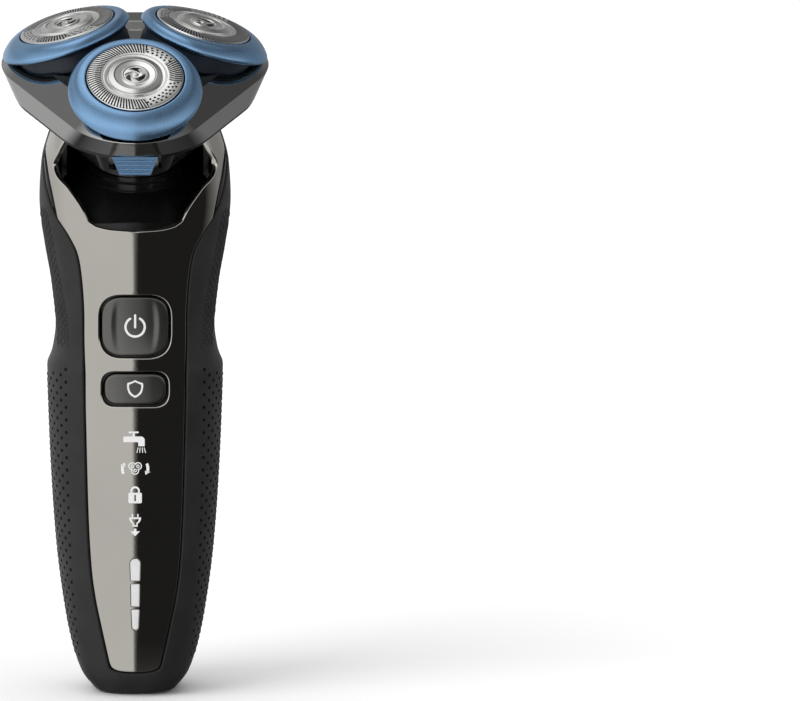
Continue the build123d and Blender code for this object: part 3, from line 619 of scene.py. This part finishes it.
def power_dish(flat):
    """Scooped field with firm left and right sides that fades towards the top and bottom."""
    z = (flat[:, 1] - POWER_BUTTON[0]) / 6.9
    side = 6.1 - 0.9 * z**2
    step = np.clip((side - np.abs(flat[:, 0])) / 1.7, 0, 1)
    crown = 0.2 * (flat[:, 0] / 8.4) ** 2
    return -0.1 - crown - 0.34 * step**2 * (3 - 2 * step) * np.clip(1 - z**2, 0, 1)


def mode_dish(flat):
    r2 = (flat[:, 0] / 7.2) ** 2 + ((flat[:, 1] - MODE_BUTTON[0]) / 4.4) ** 2
    return -0.1 - 0.25 * (flat[:, 0] / 7.9) ** 2 - 0.12 * np.clip(1 - r2, 0, 1)


for spec, name, relief, power, depth, edge in (
        (POWER_BUTTON, "power_button", power_dish, 2.6, 0.86, 0.42),
        (MODE_BUTTON, "mode_button", mode_dish, 2.2, 1.5, 0.6)):
    z0, width, height, corner = spec
    outline = on_front(resample(rounded_box(z0, width, height, corner, -FACE_INSET, power), 0.35, True))
    face = skin_piece(f"{name}_face", [outline], BUTTON, 0.4, edge, depth, relief,
                      rims=(0.08, 0.2, 0.35, 0.55, 0.8))
    place(face, name, name, slot="button_metal")

for index, spec in enumerate(bar_specs):
    outline = on_front(resample(bar_outline(*spec, grow=-0.04), 0.2, True))
    bar = skin_piece(f"charge_bar_{index + 1}", [outline], BY_SLOT["light_guide"], 0.5, 0.1, 1.2, sink=-0.02,
                     rims=(0.06, 0.14))
    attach(bar, "handle")
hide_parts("charge_bars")

# Side trims beside the horns
trim_in = front_limit(smooth_line([(x + PANEL_GAP, z) for x, z in PANEL_HORN], 16))
trim_out = front_limit(smooth_line(TRIM_EDGE, 16))
trim_z = np.linspace(118.3, 131.5, 40)
inner_x = np.interp(trim_z, trim_in[:, 1], trim_in[:, 0])
outer_x = np.interp(trim_z, trim_out[:, 1], trim_out[:, 0])
keep = outer_x - inner_x > 0.12
trim_z, inner_x, outer_x = trim_z[keep], inner_x[keep], outer_x[keep]
for side, word in ((1, "right"), (-1, "left")):
    line = np.vstack([np.stack([inner_x, trim_z], 1), np.stack([outer_x, trim_z], 1)[::-1]])
    line = resample(line, 0.4, True) * (side, 1)
    trim = skin_piece(f"side_trim_{word}", [on_front(line)], BLACK, 0.6, 0.2, rims=(0.1, 0.22))
    place(trim, "handle", "side_trims", slot="black_gloss")


# Bowl clearance, needed for the grip's upper rim
def in_unit(points):
    inverse = np.array(UNIT.inverted())
    return points @ inverse[:3, :3].T + inverse[:3, 3]


def tri_distance(points, offset):
    """Distance from points to the triangle through the shaving heads' directions."""
    turns = np.radians(list(HEAD_ANGLES.values()))
    corners = offset * np.stack([np.cos(turns), np.sin(turns)], 1)
    return np.where(inside(points, [corners]), 0, edge_distance(points, [corners]))


# Depth under the heads, offset of the three outline circles, and their radius
BOWL_STAGES = np.array([(16.3, 15.5, 12.0), (22.6, 17.4, 9.7), (30.4, 0.4, 11.2)])
WELL_RADIUS, WELL_DEPTH = 16.6, 60


def in_bowl_space(points, grow=0.9):
    """Tells which points the shaving unit's bowl and its neck need free."""
    local = in_unit(points)
    depth = -local[:, 2]
    offset = np.interp(depth, BOWL_STAGES[:, 0], BOWL_STAGES[:, 1])
    radius = np.interp(depth, BOWL_STAGES[:, 0], BOWL_STAGES[:, 2]) + grow
    result = np.zeros(len(points), bool)
    for i in range(len(points)):
        if BOWL_STAGES[0, 0] < depth[i] < BOWL_STAGES[-1, 0]:
            result[i] = tri_distance(local[i:i + 1, :2], offset[i])[0] < radius[i]
    well = (np.hypot(local[:, 0], local[:, 1]) < WELL_RADIUS) & (depth < WELL_DEPTH)
    return result | well


grip_edge = panel_half(TRIM_EDGE, PANEL_GAP)
edge_sheet = on_front(grip_edge)
start_girth = edge_sheet[-1][0]
rim = []
for girth in np.arange(start_girth, math.pi * GIRTH + 0.01, 0.6):
    heights = np.arange(122, 142.5, 0.25)
    column = np.stack([np.full(len(heights), girth), heights], 1)
    points, _ = wrap(column)
    blocked = (heights > slanted_top(points[:, 1])) | in_bowl_space(points)
    rim.append((girth, heights[np.argmax(blocked)] if blocked.any() else heights[-1]))
rim[0] = tuple(edge_sheet[-1])
rim[-1] = (math.pi * GIRTH, rim[-1][1])
right_rim = resample(np.array(rim), 0.7)
seam_top = right_rim[-1][1]
right_seam = np.stack([np.full(120, math.pi * GIRTH), np.linspace(seam_top, 0, 120)], 1)
base_line = np.stack([np.linspace(math.pi * GIRTH, -math.pi * GIRTH, 161), np.zeros(161)], 1)
right_opening = resample(edge_sheet, 0.7)
half_line = np.vstack([right_opening[:-1], right_rim, right_seam[1:]])
grip_loop = np.vstack([half_line, base_line[1:-1], (half_line * (-1, 1))[::-1][:-1]])


def grip_is_edge(loop):
    return (np.abs(loop[:, 0]) < math.pi * GIRTH - 0.01) & (loop[:, 1] > 0.01)


FOOT_ROUND = 0.8
SCOOP_LOW, SCOOP_HIGH = 88.0, 120.0


def grip_relief(flat):
    """Rounded foot, a soft crease beside the front, and scale-like waves in the side scoops."""
    girth, z = flat[:, 0], flat[:, 1]
    low = np.clip(FOOT_ROUND - z, 0, FOOT_ROUND)
    foot = -(FOOT_ROUND - np.sqrt(np.maximum(FOOT_ROUND**2 - low**2, 0)))
    along = np.clip((z - SCOOP_LOW) / (SCOOP_HIGH - SCOOP_LOW), 0, 1)
    centre = 18.5 + 6.5 * along
    across = (np.abs(girth) - centre) / (3.2 + 2.2 * along)
    window = np.clip(1 - across**2, 0, 1) * np.clip((z - SCOOP_LOW) / 5, 0, 1)
    window = window * np.clip((SCOOP_HIGH - z) / 6, 0, 1)
    ripple = np.sin(z * 3.3 + 1.6 * np.sin(np.abs(girth) * 1.7)) * 0.5 + 0.5
    return foot - 0.12 * window * ripple


grip = skin_piece("grip_skin", [grip_loop], RUBBER, 0.75, 0.4, 1.55, grip_relief, rims=(0.12, 0.3, 0.55),
                  free=grip_is_edge)
place(grip, "handle", "grip_shell", slot="rubber_dark")


# Raised dots on the grip's sides
def dome_field(name, centres, radius, height, material, body, slot, long=1.0, slant=0.0):
    """Many small low domes in one mesh, seated on the skin, stretched upward and slanted if wanted."""
    verts, faces = [], []
    sides = 10
    angles = np.arange(sides) * 2 * math.pi / sides
    for girth, z in centres:
        for scale, lift in ((1.0, -0.05), (0.8, 0.55 * height), (0.45, 0.9 * height)):
            up = long * radius * scale * np.sin(angles)
            lean = slant * up * (1 if girth > 0 else -1)
            ring = np.stack([girth + radius * scale * np.cos(angles) + lean, z + up], 1)
            points, _ = wrap(ring, np.full(sides, -lift))
            verts += list(points)
        top, _ = wrap([(girth, z)], [-height])
        verts += list(top)
        base = len(verts) - 3 * sides - 1
        for row in range(2):
            for i in range(sides):
                j = (i + 1) % sides
                low, high = base + row * sides, base + (row + 1) * sides
                faces.append((low + i, low + j, high + j, high + i))
        for i in range(sides):
            faces.append((base + 2 * sides + i, base + 2 * sides + (i + 1) % sides, base + 3 * sides))
    obj = make_object(name, verts, faces, material)
    return place(obj, body, slot=slot)


DOT_MATERIAL = gloss_black("dot_rubber", 0.0015, (0.5, 0.6))
DOT_MATERIAL.node_tree.nodes["Principled BSDF"].inputs["Specular IOR Level"].default_value = 0.12
DOT_COLUMNS, DOT_ROWS, DOT_FOOT, DOT_ACROSS, DOT_UP = 11, 25, 9.5, 1.62, 3.1
SCALE_COLUMNS, SCALE_ROWS, SCALE_FOOT, SCALE_ACROSS, SCALE_UP, SCALE_SHIFT = 9, 20, 86.5, 1.12, 1.75, 0.87
dots = []
for column in range(DOT_COLUMNS):
    for row in range(DOT_ROWS):
        z = DOT_FOOT + DOT_UP * row + (DOT_UP / 2 if column % 2 else 0.0)
        start = on_front([(np.interp(z, [8, 30, 60, 82], [13.6, 15.6, 16.6, 16.8]), z)])[0][0]
        girth = start + DOT_ACROSS * column
        if z < 81 - 0.35 * column:
            dots += [(girth, z), (-girth, z)]
scales = []
for column in range(SCALE_COLUMNS):
    for row in range(SCALE_ROWS):
        z = SCALE_FOOT + SCALE_UP * row + (SCALE_SHIFT if column % 2 else 0.0)
        along = (z - SCOOP_LOW) / (SCOOP_HIGH - SCOOP_LOW)
        girth = 17.6 + 4.5 * max(along, 0) + SCALE_ACROSS * column
        reach = 3 + 9 * min((z - 84.0) / 14, (SCOOP_HIGH - z) / 12, 1.0)
        if column < reach and z < SCOOP_HIGH - 1:
            scales += [(girth, z), (-girth, z)]
dome_field("grip_scales", scales, 0.52, 0.2, RUBBER, "handle", "rubber_dark", 1.5, 0.35)
dome_field("grip_dots", dots, 0.46, 0.15, DOT_MATERIAL, "handle", "rubber_dark")


# Printed symbols: closed outlines in (x, z), with holes
def arc(cx, cz, radius, start, end, steps=24):
    turn = np.radians(np.linspace(start, end, steps))
    return np.stack([cx + radius * np.cos(turn), cz + radius * np.sin(turn)], 1)


def stroke(points, width):
    """Outline of a line of even width with round ends."""
    points = resample(points, 0.15)
    ahead = np.gradient(points, axis=0)
    ahead /= np.linalg.norm(ahead, axis=1)[:, None]
    side = np.stack([-ahead[:, 1], ahead[:, 0]], 1) * width / 2
    ends = []
    for point, direction in ((points[-1], ahead[-1]), (points[0], -ahead[0])):
        turn = math.degrees(math.atan2(direction[1], direction[0]))
        ends.append(arc(*point, width / 2, turn - 90, turn + 90, 9)[1:-1])
    return np.vstack([points - side, ends[0], (points + side)[::-1], ends[1]])


def lobes(radius):
    """Outline of three merged circles round the symbol's middle."""
    centres = np.array([(-0.7, 0.65), (0.7, 0.65), (0, -0.52)])
    middle, outline = np.array([0, 0.26]), []
    for turn in np.radians(np.arange(0, 360, 6)):
        ray = np.array([math.cos(turn), math.sin(turn)])
        reach = 0.0
        for centre in centres:
            along = (centre - middle) @ ray
            off = (centre - middle) @ (centre - middle) - along**2
            if off < radius**2:
                reach = max(reach, along + math.sqrt(radius**2 - off))
        outline.append(middle + ray * reach)
    return np.array(outline)


def symbol(name, shapes, body="handle", relief=None, lift=0.03):
    """Thin raised print from a list of shapes, each a list of loops."""
    verts, faces = [], []
    for loops in shapes:
        sheets = [on_front(resample(loop, 0.14, True)) for loop in loops]
        flat, triangles, loop_index = fill(sheets, 0.3, ())
        sink = -lift - (relief(flat) if relief is not None else 0)
        top, _ = wrap(flat, sink)
        low, _ = wrap(flat, sink + 0.06)
        base, n = len(verts), len(flat)
        verts += list(top) + list(low)
        faces += [tuple(base + k for k in f) for f in triangles]
        for index in loop_index:
            count = len(index)
            for i in range(count):
                a, b = index[i], index[(i + 1) % count]
                if a is not None and b is not None and a != b:
                    faces.append((base + a, base + b, base + n + b, base + n + a))
    return place(make_object(name, verts, faces, PRINT, False), body, slot="light_guide")


def shifted(points, dx, dz):
    return np.asarray(points, float) + (dx, dz)


def flipped(points):
    return -np.asarray(points, float)


tap = np.vstack([[(-2.82, 63.75), (-2.82, 65.12)], arc(1.35, 64.15, 0.97, 90, 0, 10),
                 [(2.32, 62.72), (0.75, 62.72), (0.75, 63.55), (0.6, 63.75)]])
falls = ((0.72, -0.3), (1.2, -0.1), (1.72, 0.1), (2.2, 0.32))
drops = [stroke([(x, 62.35), (x + dx, 61.15)], 0.2) for x, dx in falls]
handle_bar = stroke([(-1.4, 66.15), (0.7, 66.15)], 0.42)
stem = np.array([(-0.58, 65.1), (-0.58, 66.1), (-0.08, 66.1), (-0.08, 65.1)])
symbol("symbol_tap", [[tap], [handle_bar], [stem], *[[drop] for drop in drops]])

arrow_body = np.vstack([arc(0, 0, 3.42, 160, 204, 12), arc(0, 0, 2.75, 204, 160, 12)])
arrow_head = np.array([(-3.72, 0.75), (-2.5, 1.5), (-2.35, 0.55)])
heads = [lobes(0.96), lobes(0.7)]
eye_centres = ((-0.66, 0.6), (0.66, 0.6), (0, -0.45))
eyes = [[arc(x, z, 0.44, 0, 354, 30), arc(x, z, 0.22, 0, 350, 16)] for x, z in eye_centres]
parts = [heads, *eyes, [arrow_body], [arrow_head], [flipped(arrow_body)], [flipped(arrow_head)]]
symbol("symbol_heads", [[shifted(loop, 0, 57.2) for loop in loops] for loops in parts])

shackle = np.vstack([[(1.13, 51.2)], arc(0, 51.75, 1.13, 0, 180, 20), [(-1.13, 51.2), (-0.66, 51.2)],
                     arc(0, 51.75, 0.66, 180, 0, 16), [(0.66, 51.2)]])
lock_body = shifted(rounded_box(0, 3.25, 2.6, 0.45), 0, 49.98)
keyhole = stroke([(0, 50.6), (0, 49.35)], 0.42)
symbol("symbol_lock", [[shackle], [lock_body, keyhole]])

plug = np.array([(-1.43, 45.2), (-1.43, 44.75), (-1.15, 44.1), (-0.62, 43.6), (-0.62, 42.9),
                 (0.62, 42.9), (0.62, 43.6), (1.15, 44.1), (1.43, 44.75), (1.43, 45.2)])
plug_inside = np.array([(-0.95, 44.78), (-0.75, 44.25), (-0.27, 43.78), (-0.27, 43.3),
                        (0.27, 43.3), (0.27, 43.78), (0.75, 44.25), (0.95, 44.78)])
prongs = [stroke([(x, 45.15), (x, 45.9)], 0.34) for x in (-0.66, 0.66)]
down = np.array([(-0.3, 42.4), (0.3, 42.4), (0.3, 41.75), (1.16, 41.75), (0, 40.54), (-1.16, 41.75),
                 (-0.3, 41.75)])
symbol("symbol_plug", [[plug, plug_inside], *[[p] for p in prongs], [down]])

power_ring = stroke(arc(0, 91.85, 2.33, 120, 420, 60), 0.55)
power_bar = stroke([(0, 91.75), (0, 94.7)], 0.52)
symbol("symbol_power", [[power_ring], [power_bar]], "power_button", power_dish)
shield_right = smooth_line([(1.92, 1.4), (1.92, 0.3), (1.6, -0.85), (0.96, -1.62), (0.0, -2.19)], 6)
shield_in = smooth_line([(1.46, 1.04), (1.46, 0.25), (1.2, -0.62), (0.7, -1.24), (0.0, -1.68)], 6)
shield = np.vstack([[(0, 2.17), (0.75, 1.78)], shield_right, (shield_right * (-1, 1))[::-1][1:],
                    [(-0.75, 1.78)]])
shield_hole = np.vstack([[(0, 1.68)], shield_in, (shield_in * (-1, 1))[::-1][1:]])
symbol("symbol_mode", [[shifted(shield, 0, 76.75), shifted(shield_hole, 0, 76.75)]], "mode_button", mode_dish)


# ---------------------------------------------------------------- shaving heads
# Radius, height and share of the lip's outward shift and tip
RING_STAGES = [
    (12.7, -2.95, 0.0), (12.72, -7.7, 0.0), (13.3, SKIRT_Z, 0.0), (SKIRT_R, SKIRT_Z + 0.5, 0.0),
    (SKIRT_R, LIP_Z - 1.0, 0.35), (14.9, LIP_Z - 0.72, 0.75), (15.7, LIP_Z - 0.5, 1.0),
    (16.02, LIP_Z - 0.3, 1.0), (16.1, LIP_Z, 1.0), (15.98, LIP_Z + 0.42, 0.98), (15.72, LIP_Z + 0.88, 0.92),
    (15.2, LIP_Z + 1.52, 0.79),
    (14.55, LIP_Z + 2.12, 0.6), (13.8, LIP_Z + 2.56, 0.38), (13.0, LIP_Z + 2.82, 0.17),
    (12.35, LIP_Z + 2.93, 0.04), (12.08, LIP_Z + 2.92, 0.0), (11.95, LIP_Z + 2.8, 0.0), (11.92, -1.2, 0.0),
]


def strip_faces(rows, sectors, order):
    """Quads between rings of points. In order, 0 and 1 are a quad's near corners, 2 and 3 its far ones."""
    faces = []
    for row in range(rows):
        near, far = row * sectors, (row + 1) * sectors
        for i in range(sectors):
            j = (i + 1) % sectors
            corners = (near + i, near + j, far + j, far + i)
            faces.append(tuple(corners[k] for k in order))
    return faces


def ring_mesh(name):
    """Smooth blue ring: rings of points through the stages, joined in a strip. Its lowest rows, the skirt
    under the lip, take a dark blue-grey material as painted shade for the shadow there.
    """
    radii, heights, shares = [
        smooth_line([(i, stage[k]) for i, stage in enumerate(RING_STAGES)], 5)[:, 1] for k in range(3)
    ]
    place_of = np.array(head_matrix(name))
    turn = np.linspace(0, 2 * math.pi, 144, endpoint=False)
    verts = []
    for r, z, k in zip(radii, heights, shares):
        tip = LIP_TIP * k
        x, y = r * np.cos(turn), r * np.sin(turn)
        local = np.stack([LIP_X * k + x * math.cos(tip), y, z - x * math.sin(tip)], 1)
        verts += list(local @ place_of[:3, :3].T + place_of[:3, 3])
    faces = strip_faces(len(radii) - 1, len(turn), (0, 1, 2, 3))
    ring = make_object(f"ring_surface_{name}", verts, faces, BLUE)
    ring.data.materials.append(SKIRT_SHADE)
    # Rows below the lip get the dark skirt material: painted shade for the shadow under the lip.
    shade_rows = min(np.count_nonzero(heights < LIP_Z - 0.55), len(radii) // 2)
    for polygon in ring.data.polygons:
        polygon.material_index = int(polygon.index // len(turn) < shade_rows)
    return ring


CAP_PROFILE = [
    (0.0, 1.12), (0.6, 1.1), (0.8, 0.98), (0.88, 0.86), (1.6, 0.92), (2.7, 0.86), (2.85, 0.98), (2.98, 1.04),
    (3.14, 1.0), (3.32, 0.84), (3.46, 0.66), (4.66, 0.84), (4.88, 0.9), (5.05, 1.04), (5.2, 1.08), (6.3, 0.74),
    (6.45, 0.68), (6.58, 0.6), (6.58, 0.3),
]
TRACK_PROFILE = [
    (6.6, 0.34), (7.28, 0.44), (7.34, 0.34), (7.7, 0.34), (7.76, 0.46), (8.4, 0.52), (9.6, 0.54), (10.6, 0.46),
    (11.2, 0.36), (11.42, 0.27), (11.55, 0.14), (11.6, -0.05), (11.6, -0.9),
]


SLOT_PITCH, SLOT_HALF, SLOT_RAKE, SLOT_SINK = 4, 0.15, math.radians(14), 0.3
SLOT_START, SLOT_END, SLOT_MIDDLE = 8.29, 11.36, 9.8
HOLE_RADIUS, HOLE_CIRCLES, HOLE_FIELDS = 0.26, (8.9, 9.7, 10.5), ((17, 79), (121, 163))
WINDOW_START, WINDOW_END, WINDOW_SINK = 1.16, 2.5, 0.45


def turned_piece(piece_name, head, verts, faces, sunk, shade_corners, sharp):
    """A steel piece in a head's own frame, black where enough of a face's corners are sunk: painted shade for
    the dark inside of slots, holes and windows.
    """
    piece = make_object(f"{piece_name}_{head}", verts, faces, TURNED)
    # The black matt material on the sunk faces is painted shade for the openings.
    piece.data.materials.append(BY_SLOT["black_matt"])
    low = np.concatenate(sunk)
    for polygon in piece.data.polygons:
        polygon.material_index = int(low[list(polygon.vertices)].sum() >= shade_corners)
    piece.data.set_sharp_from_angle(angle=math.radians(sharp))
    spot = head_matrix(head)
    spot.translation *= MM
    piece.matrix_world = spot
    return piece


def track_face(name):
    """A cap's slotted track: raked slots all round, with two fields of round holes; slots and holes are
    shallow dips painted black as shade.
    """
    radii = [6.6, 6.9, 7.28, 7.34, 7.5, 7.7, 7.76, 8.0, 8.2, 8.3, *np.arange(8.36, 11.3, 0.1), 11.35]
    radii += [11.42, 11.48, 11.55, 11.6]
    sectors = 720
    profile = np.array(TRACK_PROFILE)
    turn = np.arange(sectors) * 2 * math.pi / sectors
    degrees = np.degrees(turn)
    in_holes = np.any([(degrees > start) & (degrees < end) for start, end in HOLE_FIELDS], axis=0)
    verts, sunk = [], []
    for r in radii:
        z = np.interp(r, profile[:, 0], profile[:, 1]) if r < 11.595 else -0.05
        rake = math.degrees((r - SLOT_MIDDLE) * math.tan(SLOT_RAKE) / r)
        half_pitch = SLOT_PITCH / 2
        slot = np.abs((degrees - rake + half_pitch) % SLOT_PITCH - half_pitch) < math.degrees(SLOT_HALF / r)
        slot &= (r > SLOT_START) & (r < SLOT_END) & ~in_holes
        holes = np.zeros(sectors, bool)
        for start in range(0, 360, 2 * SLOT_PITCH):
            for row, radius in enumerate(HOLE_CIRCLES):
                angle = math.radians(start + 2.6 * row)
                x = r * np.cos(turn) - radius * math.cos(angle)
                y = r * np.sin(turn) - radius * math.sin(angle)
                holes |= x**2 + y**2 < HOLE_RADIUS**2
        low = slot | (holes & in_holes)
        verts += list(np.stack([r * np.cos(turn), r * np.sin(turn), np.where(low, z - SLOT_SINK, z)], 1))
        sunk.append(low)
    verts += [(11.6 * math.cos(t), 11.6 * math.sin(t), -0.9) for t in turn]
    sunk.append(np.zeros(sectors, bool))
    faces = strip_faces(len(radii), sectors, (0, 3, 2, 1))
    return turned_piece("cap_track", name, verts, faces, sunk, 1, 30)


def cap_face(name):
    """Middle of a cap as a turned dish, with three curved windows sunk into its hub and painted black as
    shade.
    """
    radii = [0.02, *np.arange(0.15, 0.6, 0.15), 0.62, 0.72, 0.8, 0.85, 0.9, *np.arange(1.0, 2.7, 0.06)]
    radii += [2.7, 2.78, 2.85, 2.92, 2.98, 3.06, 3.14, 3.23, 3.32, 3.39, 3.46, 3.6, 4.0, 4.4, 4.6, 4.66]
    radii += [4.77, 4.88]
    radii += [5.0, 5.12, 5.21, 5.3, 5.5, 5.7, 5.95, 6.08, 6.2, 6.32, 6.45, 6.52, 6.57, 6.58]
    profile = np.array(CAP_PROFILE)
    sectors = 288
    turn = np.arange(sectors) * 2 * math.pi / sectors
    verts, sunk = [], []
    for r in radii:
        z = np.interp(r, profile[:, 0], profile[:, 1]) if r < 6.575 else 0.7
        swirl = (turn - 0.55 * (r - 1.1) + 0.3) % (2 * math.pi / 3)
        window = (WINDOW_START < r < WINDOW_END) & (swirl < math.radians(66) - 0.25 * abs(r - 1.85))
        verts += list(np.stack([r * np.cos(turn), r * np.sin(turn), np.where(window, z - WINDOW_SINK, z)], 1))
        sunk.append(window)
    verts += [(6.6 * math.cos(t), 6.6 * math.sin(t), 0.28) for t in turn]
    sunk.append(np.zeros(sectors, bool))
    faces = strip_faces(len(radii), sectors, (3, 2, 1, 0))
    return turned_piece("cap_face", name, verts, faces, sunk, 3, 32)


# Dark blue-grey for the rings' skirts: painted shade standing in for the shadow under the lip.
SKIRT_SHADE = moulded("ring_skirt_painted_shade", (0.012, 0.02, 0.032), (0.3, 0.45))
TURNED = turned_steel()
for name in HEAD_ANGLES:
    place(ring_mesh(name), f"ring_{name}", f"skin_ring_{name}", slot="blue_metal")
    place(cap_face(name), f"cap_set_{name}", f"cap_centre_{name}", slot="steel")
    place(track_face(name), f"cap_set_{name}", f"cap_{name}", slot="steel")

# ---------------------------------------------------------------- stage, lights and camera
floor_mesh = bpy.data.meshes.new("floor")
floor_mesh.from_pydata([(-4, -4, 0), (4, -4, 0), (4, 6, 0), (-4, 6, 0)], [], [(0, 1, 2, 3)])
floor = bpy.data.objects.new("floor", floor_mesh)
bpy.context.scene.collection.objects.link(floor)
floor.location.z = -0.0002
floor_mesh.materials.append(new_material("floor", (0.86, 0.86, 0.86), 0.9, spec=0.1)[0])
floor.visible_glossy = False


def studio_world():
    """White surroundings for the eye and the soft light, and softboxes on a dark ground for reflections."""
    world = bpy.data.worlds.new("studio")
    bpy.context.scene.world = world
    world.use_nodes = True
    tree = world.node_tree
    link = tree.links.new
    plain = tree.nodes["Background"]
    plain.inputs["Color"].default_value = (1, 1, 1, 1)
    plain.inputs["Strength"].default_value = 1.0
    place_in = tree.nodes.new("ShaderNodeTexCoord")
    axes = tree.nodes.new("ShaderNodeSeparateXYZ")
    link(place_in.outputs["Generated"], axes.inputs["Vector"])

    def ramp(source, low, high, stops):
        spread = tree.nodes.new("ShaderNodeMapRange")
        spread.inputs["From Min"].default_value = low
        spread.inputs["From Max"].default_value = high
        link(source, spread.inputs["Value"])
        node = tree.nodes.new("ShaderNodeValToRGB")
        elements = node.color_ramp.elements
        while len(elements) < len(stops):
            elements.new(0.5)
        for element, (position, value) in zip(elements, stops):
            element.position = (position - low) / (high - low)
            element.color = (value, value, value, 1)
        link(spread.outputs["Result"], node.inputs["Fac"])
        return node.outputs["Color"]

    def mix(kind, factor, first, second):
        node = tree.nodes.new("ShaderNodeMix")
        node.data_type = "RGBA"
        node.blend_type = kind
        for index, value in ((0, factor), (6, first), (7, second)):
            socket = node.inputs[index]
            if hasattr(value, "is_output"):
                link(value, socket)
            elif isinstance(value, float):
                socket.default_value = value
        return node.outputs[2]

    quarters = (FRONT_LEFT, FRONT_RIGHT, BACK_LEFT, BACK_RIGHT)
    tones = [ramp(axes.outputs["Z"], -1, 1, stops) for stops in quarters]
    split = ramp(axes.outputs["X"], -1, 1, SPLIT)
    front = mix("MIX", split, tones[0], tones[1])
    back = mix("MIX", ramp(axes.outputs["X"], -1, 1, SOFT_SPLIT), tones[2], tones[3])
    tone = mix("MIX", ramp(axes.outputs["Y"], -1, 1, FRONT_TO_BACK), front, back)
    glow = tree.nodes.new("ShaderNodeBackground")
    link(tone, glow.inputs["Color"])
    path = tree.nodes.new("ShaderNodeLightPath")
    choose = tree.nodes.new("ShaderNodeMixShader")
    soft = tree.nodes.new("ShaderNodeBackground")
    soft.inputs["Color"].default_value = (1, 1, 1, 1)
    soft.inputs["Strength"].default_value = 0.6
    seen = tree.nodes.new("ShaderNodeMixShader")
    link(path.outputs["Is Camera Ray"], seen.inputs["Fac"])
    link(soft.outputs["Background"], seen.inputs[1])
    link(plain.outputs["Background"], seen.inputs[2])
    link(path.outputs["Is Glossy Ray"], choose.inputs["Fac"])
    link(seen.outputs["Shader"], choose.inputs[1])
    link(glow.outputs["Background"], choose.inputs[2])
    link(choose.outputs["Shader"], tree.nodes["World Output"].inputs["Surface"])


# Reflected tone by height of direction, from straight down (-1) to up (1), for the four quarters
FRONT_LEFT = [(-1.0, 0.3), (-0.85, 0.6), (-0.7, 0.8), (0.0, 0.8), (0.15, 1.3), (0.5, 0.8), (0.8, 0.35),
              (0.95, 1.3), (1.0, 1.3)]
FRONT_RIGHT = [(-1.0, 0.08), (-0.5, 0.02), (-0.03, 0.02), (0.12, 1.0), (0.45, 0.4), (0.75, 0.1), (1.0, 0.25)]
BACK_LEFT = [(-1.0, 0.25), (-0.8, 0.16), (-0.6, 0.05), (-0.35, 0.6), (0.1, 0.75), (0.3, 0.4), (0.55, 0.5),
             (0.75, 0.25), (0.92, 1.1), (1.0, 1.3)]
BACK_RIGHT = [(-1.0, 0.08), (-0.6, 0.04), (-0.25, 0.3), (0.15, 0.32), (0.5, 0.22), (0.75, 0.08),
              (0.95, 0.4), (1.0, 0.4)]
SPLIT = [(-0.005, 0.0), (0.001, 1.0)]
SOFT_SPLIT = [(-0.15, 0.0), (0.15, 1.0)]
FRONT_TO_BACK = [(-0.3, 0.0), (0.3, 1.0)]
studio_world()

bpy.context.scene.view_settings.view_transform = "Standard"


def soft_sun(name, direction, strength, spread):
    """Broad even light from one direction, kept out of the reflections."""
    data = bpy.data.lights.new(name, "SUN")
    data.energy = strength
    data.angle = math.radians(spread)
    light = bpy.data.objects.new(name, data)
    bpy.context.scene.collection.objects.link(light)
    light.rotation_euler = Vector(direction).to_track_quat("-Z", "Y").to_euler()
    light.visible_glossy = False
    return light


soft_sun("key", (0.75, 0.5, -0.75), 1.5, 40)
soft_sun("top", (0.05, -0.05, -1.0), 1.2, 70)

ELEVATION = math.radians(9.0)
DISTANCE, LENS, AIM_Z, AIM_X = 2.0, 369.9, 0.0833, 0.06445
camera_data = bpy.data.cameras.new("camera")
camera_data.lens = LENS
camera_data.sensor_width = 36
camera_data.clip_start, camera_data.clip_end = 0.02, 20
camera = bpy.data.objects.new("camera", camera_data)
bpy.context.scene.collection.objects.link(camera)
camera.location = (0, -DISTANCE * math.cos(ELEVATION), AIM_Z + DISTANCE * math.sin(ELEVATION))
pitch = Matrix.Rotation(math.pi / 2 - ELEVATION, 4, "X")
yaw = Matrix.Rotation(-math.atan(AIM_X / DISTANCE), 4, "Y")
camera.matrix_world = Matrix.Translation(camera.location) @ pitch @ yaw
bpy.context.scene.camera = camera
